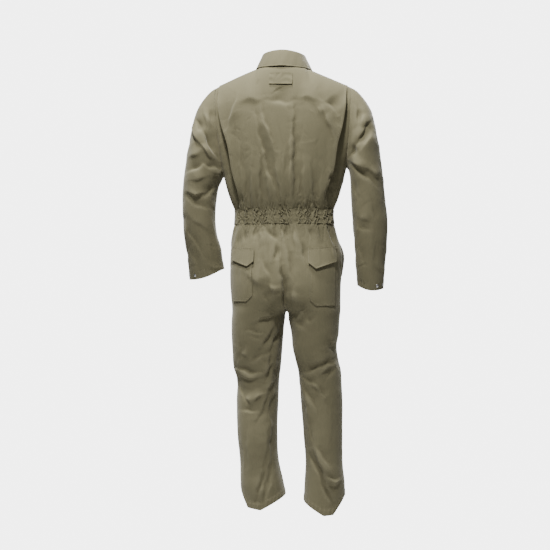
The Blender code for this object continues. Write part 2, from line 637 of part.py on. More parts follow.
def leg_ring(side, z, part, face):
    """Point of the leg's back or front half: part 0 at the outer side, 1 at the centre or inner seam."""
    sign = SIDES[side]
    rows = LEG[side]
    outer, inner = curve(rows, "outer", z), curve(rows, "inner", z)
    middle = (outer + inner) / 2
    half = (outer - inner) / 2
    seam = np.maximum(sign * centre_x(z), inner)
    reach = np.clip((seam - middle) / half, -1, 1)
    last = np.arccos(np.sign(reach) * np.abs(reach) ** (SQUARE / 2))
    angle = last * part
    cos, sin = np.cos(angle), np.sin(angle)
    x = middle + half * np.sign(cos) * np.abs(cos) ** (2 / SQUARE)
    depth = curve(rows, "back" if face > 0 else "front", z)
    y = curve(rows, "middle", z) + face * depth * np.abs(sin) ** (2 / SQUARE)
    return np.stack([sign * x, y, z + 0 * x], axis=-1)


def leg_points(side, face, columns):
    """Grid of a leg panel from its hem up, the outer seam first."""
    part = np.linspace(0, 1, columns)[None, :]
    rows = LEG_ROWS[:, None] + 0 * part
    hem = HEM[side]
    cos = np.cos(part * math.pi)
    across = (1 - np.sign(cos) * np.abs(cos) ** (2 / SQUARE)) / 2
    level = hem["outer"] + (hem["inner"] - hem["outer"]) * across
    drop = hem["back" if face > 0 else "front"] - (hem["inner"] + hem["outer"]) / 2
    edge = level + drop * np.interp(across, (0, hem["corner"], HEM_LOW_END, 1), (0, 1, 1, 0))
    between = (rows[-1:] + edge) / 2
    rows = np.concatenate([rows, between, edge])[::-1]
    return leg_ring(side, rows, part + 0 * rows, face)


def leg_panel(side, face):
    sign = SIDES[side]
    name = "back" if face > 0 else "front"
    points = leg_points(side, face, 12)
    points, normals = creased(points, np.array([0.2 * sign, face, 0]), centred=True)
    points = pulled_in(points, first=SEAM / 2, last=SEAM / 2)
    height = points[:, -1, 2]
    inner = normals[:, -1] * [0, 1, 1]
    inner[height < CROTCH - 0.001] = (-sign, 0, 0)
    at_crotch = np.abs(height - CROTCH) < 0.001
    inner[at_crotch] = (0, 0, -1)
    caps = [(slice(None), 0, (sign, 0, 0)), (slice(None), -1, inner)]
    return wall(f"leg_{name}_{side}", points, normals, CLOTH, caps=caps)


def band_points(first, last, columns, gathers):
    """Waistband points between two angles of the body, with gathers across the back."""
    angle = np.linspace(first, last, columns)[None, :]
    face = 1 if first >= 0 and last >= 0 else -1
    z = np.array([WAIST_LOW, (WAIST_LOW + WAIST_TOP) / 2, WAIST_TOP])[:, None]
    points = torso(np.abs(angle) + 0 * z, z + 0 * angle, face)
    normals = normals_of(points, False)
    if np.sum(normals[..., 1]) * face < 0:
        normals = -normals
    run = np.linspace(0, 1, columns)[None, :]
    phase = run * gathers + 0.22 * np.sin(run * 31) + 0.35 * np.sin(run * 11)
    fade = ease(run * 12) * ease((1 - run) * 12)
    wave = GATHER_DEPTH * np.cos(2 * math.pi * phase) * fade * (0.75 + 0.25 * np.sin(run * 17))
    proud = BAND_PROUD + (wave if gathers else 0 * wave)
    return points + normals * (proud + 0 * z)[..., None], normals


def waistband_back():
    points, normals = band_points(0, math.pi, GATHERS * 4 + 1, GATHERS)
    points = pulled_in(points, first=SEAM / 2, last=SEAM / 2)
    caps = [(slice(None), 0, (1, 0, 0)), (slice(None), -1, (-1, 0, 0))]
    return wall("waistband_back", points, normals, CLOTH, caps=caps)


def waistband_front(side):
    sign = SIDES[side]
    start = 0 if side == "left" else math.pi
    points, normals = band_points(-start - 1e-9, -math.pi / 2, 9, 0)
    points = pulled_in(points, first=SEAM / 2, last=SEAM / 2)
    caps = [(slice(None), 0, (sign, 0, 0)), (slice(None), -1, (0, -1, 0))]
    return wall(f"waistband_front_{side}", points, normals, CLOTH, caps=caps)


def on_leg(side, x, z, face):
    """Creased point and normal of a leg panel at the given x and z."""
    rows = LEG[side]

    def bare(x, z):
        outer, inner = curve(rows, "outer", z), curve(rows, "inner", z)
        reach = np.clip(np.abs(x - (outer + inner) / 2) / ((outer - inner) / 2), 0, 0.999)
        depth = curve(rows, "back" if face > 0 else "front", z)
        y = curve(rows, "middle", z) + face * depth * (1 - reach**SQUARE) ** (1 / SQUARE)
        return np.stack([SIDES[side] * x, y, z], axis=-1)

    return lifted(bare, x, z, face)


def on_back(x, z):
    def bare(x, z):
        return torso(angle_at(x, z), z, 1)

    return lifted(bare, x, z, 1)


def lifted(bare, x, z, face):
    """Point with its folds, and its normal, of a surface given as a function of x and z."""
    small = 1e-4
    point = bare(x, z)
    normal = unit(np.cross(bare(x + small, z) - point, bare(x, z + small) - point))
    normal = normal * np.sign(normal[..., 1:2]) * face
    return point + normal * fold_height(point, normal)[..., None], normal


def patch_grid(corners, columns, rows):
    """Even grid inside four (x, z) corners given from the lower left round to the upper left."""
    u = np.linspace(0, 1, columns)[None, :, None]
    v = np.linspace(0, 1, rows)[:, None, None]
    low_left, low_right, top_right, top_left = np.array(corners, float)
    low = low_left * (1 - u) + low_right * u
    top = top_left * (1 - u) + top_right * u
    grid = low * (1 - v) + top * v
    return grid[..., 0], grid[..., 1]


def back_pocket(side):
    size = BACK_POCKET[side]
    corners = [
        (size["inner"], size["low"]),
        (size["outer"], size["low"]),
        (size["outer"], size["top"]),
        (size["inner"], size["top"]),
    ]
    x, z = patch_grid(corners, 8, 7)
    clip = np.clip(1 - (x - size["inner"]) / POCKET_CLIP, 0, 1) * POCKET_CLIP
    z = z + clip * (size["top"] - z) / (size["top"] - size["low"])
    points, normals = on_leg(side, x, z, 1)
    return wall(f"back_pocket_{side}", points, normals, OVERLAY, lift=LAYER)


def pocket_flap(side):
    size = BACK_POCKET[side]
    inner, outer = size["inner"] - FLAP_SPREAD, size["outer"] + FLAP_SPREAD / 2
    corners = [
        (inner, size["top"] - FLAP_LAP),
        (outer, size["top"] - FLAP_OUTER_LAP),
        (outer, size["flap_top"] + FLAP_RISE),
        (inner, size["flap_top"]),
    ]
    x, z = patch_grid(corners, 9, 4)
    tip_x = inner + FLAP_TIP_SHARE * (outer - inner)
    away = np.where(x < tip_x, (tip_x - x) / (tip_x - inner), (x - tip_x) / (outer - tip_x))
    share = (z[-1] - z) / (z[-1] - z[0])
    z = z - FLAP_TIP[side] * (1 - away) * share
    points, normals = on_leg(side, x, z, 1)
    return wall(f"pocket_flap_{side}", points, normals, OVERLAY, lift=LAYER + OVERLAY + LIFT)


def side_pocket(side):
    """Facing along the mouth of the slanted side pocket, standing a little proud at its middle."""
    sign = SIDES[side]
    columns, rows = 3, 7
    z = np.linspace(SIDE_POCKET_LOW, SIDE_POCKET_TOP, rows)[:, None]
    slant = np.linspace(0.10, 0.22, rows)[:, None]
    part = slant + np.linspace(-0.055, 0.055, columns)[None, :]
    points = leg_ring(side, z + 0 * part, part, -1)
    points, normals = creased(points, np.array([sign, -0.6, 0]))
    bulge = POCKET_MOUTH_BULGE * np.sin(math.pi * np.linspace(0, 1, rows)) ** 2
    points = points + normals * (bulge[:, None] * [1.0, 0.5, 0.0])[..., None]
    return wall(f"side_pocket_{side}", points, normals, OVERLAY, lift=LAYER)


def neck_patch():
    x, z = patch_grid(NECK_PATCH, 6, 4)
    points, normals = on_back(x, z)
    rows, columns = x.shape
    raise_edge = np.linspace(1, 0, rows)[:, None] ** 2 * np.linspace(1, 0.35, columns)[None, :]
    points = points + normals * (NECK_PATCH_LIFT * raise_edge)[..., None]
    return wall("neck_patch", points, normals, OVERLAY, lift=LAYER)


def placket_middle(z):
    """Point on the middle of the placket's surface at height z."""
    x = np.zeros_like(z)
    body = torso(angle_at(x + 1e-6, z), z, -1)[..., 1]
    leg = -curve(LEG["left"], "front", z)
    y = np.where(z > WAIST_LOW, body, leg)
    near = ease((0.060 - np.abs(z - (WAIST_TOP + WAIST_LOW) / 2)) / 0.030)
    return y - (BAND_PROUD + 0.0006) * near


def placket():
    rows = 27
    z = np.linspace(PLACKET_LOW, PLACKET_TOP, rows)[:, None]
    x = np.array([-PLACKET_HALF, 0, PLACKET_HALF])[None, :]
    y = placket_middle(z) + 0 * x
    points = np.stack([x + 0 * z, y, z + 0 * x], axis=-1)
    normals = normals_of(points, False)
    normals = normals * np.sign(-normals[..., 1:2])
    return wall("placket", points, normals, PLACKET_WALL, lift=PLACKET_LIFT)


def collar_rings(rows, turn):
    """Ovals round the neck, one for each row: turn 0 at the centre back, pi at the centre front."""
    half, back, front, z_back, z_side, z_front, drop = (column[:, None] for column in rows.values())
    cos = np.cos(turn)[None, :]
    x = half * np.sin(turn)
    y = np.where(cos > 0, back, front) * cos
    end = np.where(cos > 0, z_back, z_front)
    z = z_side + (end - z_side) * np.abs(cos) ** 2.2 - drop * ease(-x / NECK_HALF)
    return np.stack([x, y, z], axis=-1)


def neck_edge(turn):
    """Lower edge of the stand, just above and inside the neckline that it is sewn to."""
    cos = np.cos(turn)
    x = (NECK_HALF - NECK_EDGE_INSET) * np.sin(turn)
    y = (np.where(cos > 0, NECK_BACK, NECK_FRONT) - NECK_EDGE_INSET) * cos
    z = np.where(cos > 0, top_of(x, 1), top_of(x, -1)) + SEAM
    return np.stack([x, y, z], axis=-1)


def collar_normals(points):
    normals = normals_of(points, False)
    return -normals if np.sum(normals * [1, 1, 0] * points) < 0 else normals


def collar_stand():
    turn = np.linspace(-STAND_REACH, STAND_REACH, 29)
    points = np.concatenate([neck_edge(turn)[None], collar_rings(STAND, turn)])
    return wall("collar_stand", points, collar_normals(points), CLOTH)


def collar_fall():
    points = collar_rings(FALL, np.linspace(-FALL_REACH, FALL_REACH, 27))
    return wall("collar_fall", points, collar_normals(points), CLOTH)


def stud(name, seat, direction):
    """A shallow domed cap, its foot at seat and its axis along direction."""
    axis = unit(np.asarray(direction, float))
    side = unit(np.cross(axis, [0.0, 0.0, 1.0] if abs(axis[2]) < 0.9 else [1.0, 0.0, 0.0]))
    other = np.cross(axis, side)
    verts = []
    profile = ((1.0, 0.0), (1.0, 0.45), (0.72, 0.85))
    for share, height in profile:
        for k in range(STUD_SIDES):
            turn = 2 * math.pi * k / STUD_SIDES
            spoke = (side * math.cos(turn) + other * math.sin(turn)) * STUD_RADIUS * share
            verts.append(seat + spoke + axis * STUD_HEIGHT * height)
    verts.append(seat + axis * STUD_HEIGHT)
    faces = [tuple(range(STUD_SIDES))[::-1]]
    for ring in range(len(profile) - 1):
        for k in range(STUD_SIDES):
            a, b = ring * STUD_SIDES + k, ring * STUD_SIDES + (k + 1) % STUD_SIDES
            faces.append((a, b, b + STUD_SIDES, a + STUD_SIDES))
    last = (len(profile) - 1) * STUD_SIDES
    for k in range(STUD_SIDES):
        faces.append((last + k, last + (k + 1) % STUD_SIDES, len(verts) - 1))
    return solid(name, np.array(verts), faces, "stud_metal")


def cuff_studs(side):
    for number, turn in enumerate(CUFF_STUD_TURNS, 1):
        t = np.array([[CUFF_STUD_T], [CUFF_STUD_T + 0.004]])
        turns = np.array([[turn, turn + 0.01]])
        grid = sleeve_ring(side, t + 0 * turns, turns + 0 * t)
        round_it = np.linspace(0, 2 * math.pi, 16, endpoint=False)[None]
        centre = sleeve_ring(side, CUFF_STUD_T + 0 * round_it, round_it).mean(axis=(0, 1))
        normal = unit(np.cross(grid[0, 1] - grid[0, 0], grid[1, 0] - grid[0, 0]))
        if np.dot(normal, grid[0, 0] - centre) < 0:
            normal = -normal
        seat = grid[0, 0] + normal * (CUFF_WALL / 2 + STUD_SEAT * 0.6)
        stud(f"cuff_stud_{side}_{number}", seat, normal)


def front_studs():
    for number in range(FRONT_STUDS):
        z = FRONT_STUD_TOP - FRONT_STUD_STEP * number
        ends = placket_middle(np.array([z - STUD_RADIUS, z + STUD_RADIUS]))
        normal = unit(np.array([0.0, -2 * STUD_RADIUS, ends[1] - ends[0]]))
        seat = np.array([0.0, ends.mean(), z]) + normal * (PLACKET_LIFT + PLACKET_WALL / 2 + STUD_SEAT)
        stud(f"front_stud_{number + 1}", seat, normal)


def main():
    for old in list(bpy.data.objects):
        bpy.data.objects.remove(old, do_unlink=True)
    back_panel()
    waistband_back()
    collar_stand()
    collar_fall()
    neck_patch()
    placket()
    front_studs()
    for side in SIDES:
        side_back(side)
        front_panel(side)
        sleeve(side)
        cuff(side)
        cuff_studs(side)
        waistband_front(side)
        leg_panel(side, 1)
        leg_panel(side, -1)
        back_pocket(side)
        pocket_flap(side)
        side_pocket(side)


main()
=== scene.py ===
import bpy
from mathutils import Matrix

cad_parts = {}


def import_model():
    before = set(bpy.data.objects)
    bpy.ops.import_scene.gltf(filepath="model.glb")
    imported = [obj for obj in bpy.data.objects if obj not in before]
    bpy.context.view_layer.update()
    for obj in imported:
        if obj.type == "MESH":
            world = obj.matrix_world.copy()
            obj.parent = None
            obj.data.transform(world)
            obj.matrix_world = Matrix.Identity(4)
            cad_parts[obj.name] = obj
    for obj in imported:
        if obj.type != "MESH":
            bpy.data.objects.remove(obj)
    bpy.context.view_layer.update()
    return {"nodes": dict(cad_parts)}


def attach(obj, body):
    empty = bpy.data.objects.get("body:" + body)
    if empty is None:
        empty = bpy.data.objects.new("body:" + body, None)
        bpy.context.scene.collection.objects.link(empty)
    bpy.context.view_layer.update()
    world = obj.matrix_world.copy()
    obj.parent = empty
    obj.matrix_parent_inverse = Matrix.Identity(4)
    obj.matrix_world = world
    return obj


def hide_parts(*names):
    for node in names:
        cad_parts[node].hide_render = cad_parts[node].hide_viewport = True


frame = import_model()

import math

import bpy
import numpy as np

# A twill boiler suit in its worn shape: fine cloth shells on the frame's solids.
# Metres, +Z up, the wearer faces -Y and the wearer's left is +X.

cloth = {
    "thickness": 0.0009, "proud": 0.0002, "overlay": 0.0008, "seam": 0.00004,
    "fell": 0.009, "fellRise": 0.0007,  # a felled seam's width and height
    "shoulderStitch": 0.006, "armholeStitch": 0.004,
}
halfSeam = cloth["seam"] / 2
every = slice(None)
body = {
    "square": 2.35, "waistTop": -0.472, "waistLow": -0.518, "bandProud": 0.0022,
    "crotch": -0.820, "centreDrift": -0.0105, "shoulderBend": -0.165, "bendPower": 2.6,
    "neckHalf": 0.082, "neckBack": 0.080, "neckFront": 0.085, "neckBackZ": 0.018, "neckFrontZ": -0.050,
    "armholeInset": 0.019, "armholeGap": 0.0010, "pleatUnder": 0.022,
}
solid = {"wall": 0.0015, "gap": 0.0007, "overlayWall": 0.0012}  # as the frame's solids are made
layer = solid["wall"] / 2 + solid["gap"] + solid["overlayWall"] / 2  # from a panel's middle to an overlay's
sides = {"left": 1, "right": -1}
armpit = {"left": -0.352, "right": -0.325}
armholeTop = {"left": -0.044, "right": -0.052}


def table(columns, *rows):
    return dict(zip(columns.split(), np.array(rows, float).T))


torsoTable = table(
    "z halfWidth back front",
    (-0.56, 0.181, 0.1, 0.125),
    (-0.518, 0.173, 0.09, 0.121),
    (-0.472, 0.172, 0.088, 0.122),
    (-0.44, 0.1845, 0.099, 0.128),
    (-0.4, 0.1975, 0.11, 0.132),
    (-0.355, 0.209, 0.118, 0.135),
    (-0.3, 0.223, 0.122, 0.137),
    (-0.24, 0.237, 0.124, 0.138),
    (-0.18, 0.246, 0.124, 0.136),
    (-0.12, 0.252, 0.121, 0.13),
    (-0.05, 0.256, 0.115, 0.12),
    (0.05, 0.256, 0.108, 0.11),
)
shoulderLine = table(
    "x left right",
    (0, 0.036, 0.032),
    (0.085, 0.021, 0.016),
    (0.115, 0.01, 0.003),
    (0.18, -0.017, -0.025),
    (0.24, -0.044, -0.052),
    (0.3, -0.08, -0.088),
)
pleatEdge = table(
    "z left right depth",
    (-0.472, 0.15, 0.158, 0.0032),
    (-0.41, 0.15, 0.153, 0.0065),
    (-0.345, 0.166, 0.173, 0.01),
    (-0.24, 0.184, 0.19, 0.0095),
    (-0.18, 0.204, 0.206, 0.007),
    (-0.09, 0.22, 0.218, 0.004),
    (0, 0.224, 0.224, 0.0032),
)
sleeveTable = {
    "left": table(
        "t outerX outerZ innerX innerZ back front middle",
        (0, 0.239, -0.044, 0.209, -0.352, 0.06, 0.06, 0),
        (0.06, 0.269, -0.054, 0.213, -0.353, 0.068, 0.067, 0),
        (0.14, 0.299, -0.1, 0.217, -0.357, 0.077, 0.074, 0),
        (0.24, 0.319, -0.17, 0.221, -0.365, 0.081, 0.077, 0),
        (0.36, 0.336, -0.25, 0.226, -0.375, 0.08, 0.077, 0),
        (0.48, 0.35, -0.34, 0.232, -0.39, 0.076, 0.074, 0),
        (0.58, 0.357, -0.42, 0.238, -0.425, 0.07, 0.07, -0.002),
        (0.68, 0.357, -0.49, 0.244, -0.49, 0.066, 0.067, -0.006),
        (0.78, 0.354, -0.555, 0.24, -0.55, 0.062, 0.063, -0.012),
        (0.88, 0.346, -0.618, 0.227, -0.6, 0.057, 0.058, -0.02),
        (1, 0.34, -0.682, 0.221, -0.645, 0.051, 0.051, -0.028),
        (1.06, 0.337, -0.712, 0.2165, -0.674, 0.049, 0.049, -0.032),
    ),
    "right": table(
        "t outerX outerZ innerX innerZ back front middle",
        (0, 0.239, -0.052, 0.2165, -0.325, 0.06, 0.06, 0),
        (0.06, 0.267, -0.062, 0.2205, -0.325, 0.068, 0.067, 0),
        (0.14, 0.294, -0.105, 0.224, -0.33, 0.077, 0.074, 0),
        (0.24, 0.313, -0.165, 0.227, -0.34, 0.081, 0.077, 0),
        (0.36, 0.328, -0.245, 0.23, -0.356, 0.08, 0.077, 0),
        (0.48, 0.341, -0.335, 0.232, -0.385, 0.075, 0.074, 0),
        (0.58, 0.35, -0.425, 0.234, -0.44, 0.07, 0.07, -0.002),
        (0.68, 0.3585, -0.505, 0.238, -0.505, 0.066, 0.067, -0.006),
        (0.78, 0.357, -0.58, 0.244, -0.575, 0.061, 0.062, -0.012),
        (0.88, 0.351, -0.645, 0.2465, -0.64, 0.056, 0.057, -0.02),
        (1, 0.346, -0.712, 0.252, -0.702, 0.051, 0.051, -0.028),
        (1.06, 0.343, -0.743, 0.2545, -0.731, 0.049, 0.049, -0.032),
    ),
}
legTable = {
    "left": table(
        "z outer inner back front middle",
        (-0.518, 0.173, -0.173, 0.09, 0.121, 0),
        (-0.56, 0.181, -0.181, 0.101, 0.124, 0),
        (-0.62, 0.1855, -0.186, 0.116, 0.124, 0),
        (-0.68, 0.187, -0.187, 0.126, 0.119, 0),
        (-0.73, 0.186, -0.15, 0.128, 0.114, 0),
        (-0.775, 0.1825, -0.085, 0.122, 0.11, 0),
        (-0.8, 0.18, -0.04, 0.116, 0.108, 0),
        (-0.82, 0.179, -0.01, 0.112, 0.106, 0),
        (-0.85, 0.181, -0.002, 0.107, 0.104, 0),
        (-0.9, 0.1815, 0.0035, 0.101, 0.101, 0),
        (-0.96, 0.1785, 0.008, 0.094, 0.098, -0.002),
        (-1.02, 0.175, 0.014, 0.088, 0.096, -0.006),
        (-1.05, 0.165, 0.018, 0.085, 0.094, -0.008),
        (-1.13, 0.1645, 0.021, 0.084, 0.087, -0.004),
        (-1.24, 0.161, 0.0245, 0.082, 0.079, 0.002),
        (-1.35, 0.151, 0.018, 0.078, 0.073, 0.004),
        (-1.41, 0.15, 0.004, 0.078, 0.072, 0.004),
        (-1.46, 0.145, -0.005, 0.078, 0.071, 0.004),
        (-1.52, 0.139, -0.008, 0.078, 0.071, 0.004),
    ),
    "right": table(
        "z outer inner back front middle",
        (-0.518, 0.173, -0.173, 0.09, 0.121, 0),
        (-0.56, 0.184, -0.184, 0.101, 0.124, 0),
        (-0.62, 0.201, -0.185, 0.116, 0.124, 0),
        (-0.68, 0.201, -0.185, 0.126, 0.119, 0),
        (-0.73, 0.197, -0.14, 0.128, 0.114, 0),
        (-0.775, 0.196, -0.068, 0.122, 0.11, 0),
        (-0.8, 0.196, -0.02, 0.116, 0.108, 0),
        (-0.82, 0.1955, 0.011, 0.112, 0.106, 0),
        (-0.85, 0.1925, 0.018, 0.107, 0.104, 0),
        (-0.9, 0.189, 0.028, 0.101, 0.101, 0),
        (-0.94, 0.1825, 0.032, 0.096, 0.099, 0),
        (-0.99, 0.188, 0.042, 0.091, 0.097, -0.003),
        (-1.03, 0.197, 0.051, 0.088, 0.096, -0.006),
        (-1.075, 0.1995, 0.056, 0.086, 0.092, -0.006),
        (-1.13, 0.2025, 0.06, 0.084, 0.087, -0.004),
        (-1.24, 0.2025, 0.07, 0.082, 0.079, 0.002),
        (-1.35, 0.203, 0.077, 0.079, 0.073, 0.004),
        (-1.41, 0.21, 0.0735, 0.079, 0.072, 0.004),
        (-1.47, 0.211, 0.071, 0.079, 0.071, 0.004),
        (-1.54, 0.208, 0.07, 0.079, 0.071, 0.004),
    ),
}
hemLine = {
    "left": {"outer": -1.436, "inner": -1.457, "back": -1.501, "front": -1.452, "corner": 0.16},
    "right": {"outer": -1.456, "inner": -1.472, "back": -1.516, "front": -1.470, "corner": 0.24},
}
backPocketPlace = {  # distances from the middle, measured on the wearer's own side
    "left": {"inner": 0.096, "outer": 0.165, "top": -0.640, "low": -0.786, "flapTop": -0.606},
    "right": {"inner": 0.100, "outer": 0.180, "top": -0.645, "low": -0.800, "flapTop": -0.606},
}
standRings = table(  # "drop" is how much lower a ring lies on the wearer's right
    "half back front zBack zSide zFront drop",
    (0.0745, 0.0705, 0.0785, 0.038, 0.037, -0.026, 0.003),
    (0.0673, 0.0651, 0.0741, 0.068, 0.062, -0.007, 0.004),
)
fallRings = table(
    "half back front zBack zSide zFront drop",
    (0.0975, 0.096, 0.108, 0.016, 0.0182, -0.04, 0.004),
    (0.0897, 0.0895, 0.101, 0.038, 0.0345, -0.028, 0.004),
    (0.08, 0.0805, 0.09, 0.061, 0.054, -0.013, 0.004),
    (0.0735, 0.0725, 0.0795, 0.074, 0.068, -0.0045, 0.004),
    (0.069, 0.067, 0.0758, 0.0705, 0.065, -0.0048, 0.004),
)

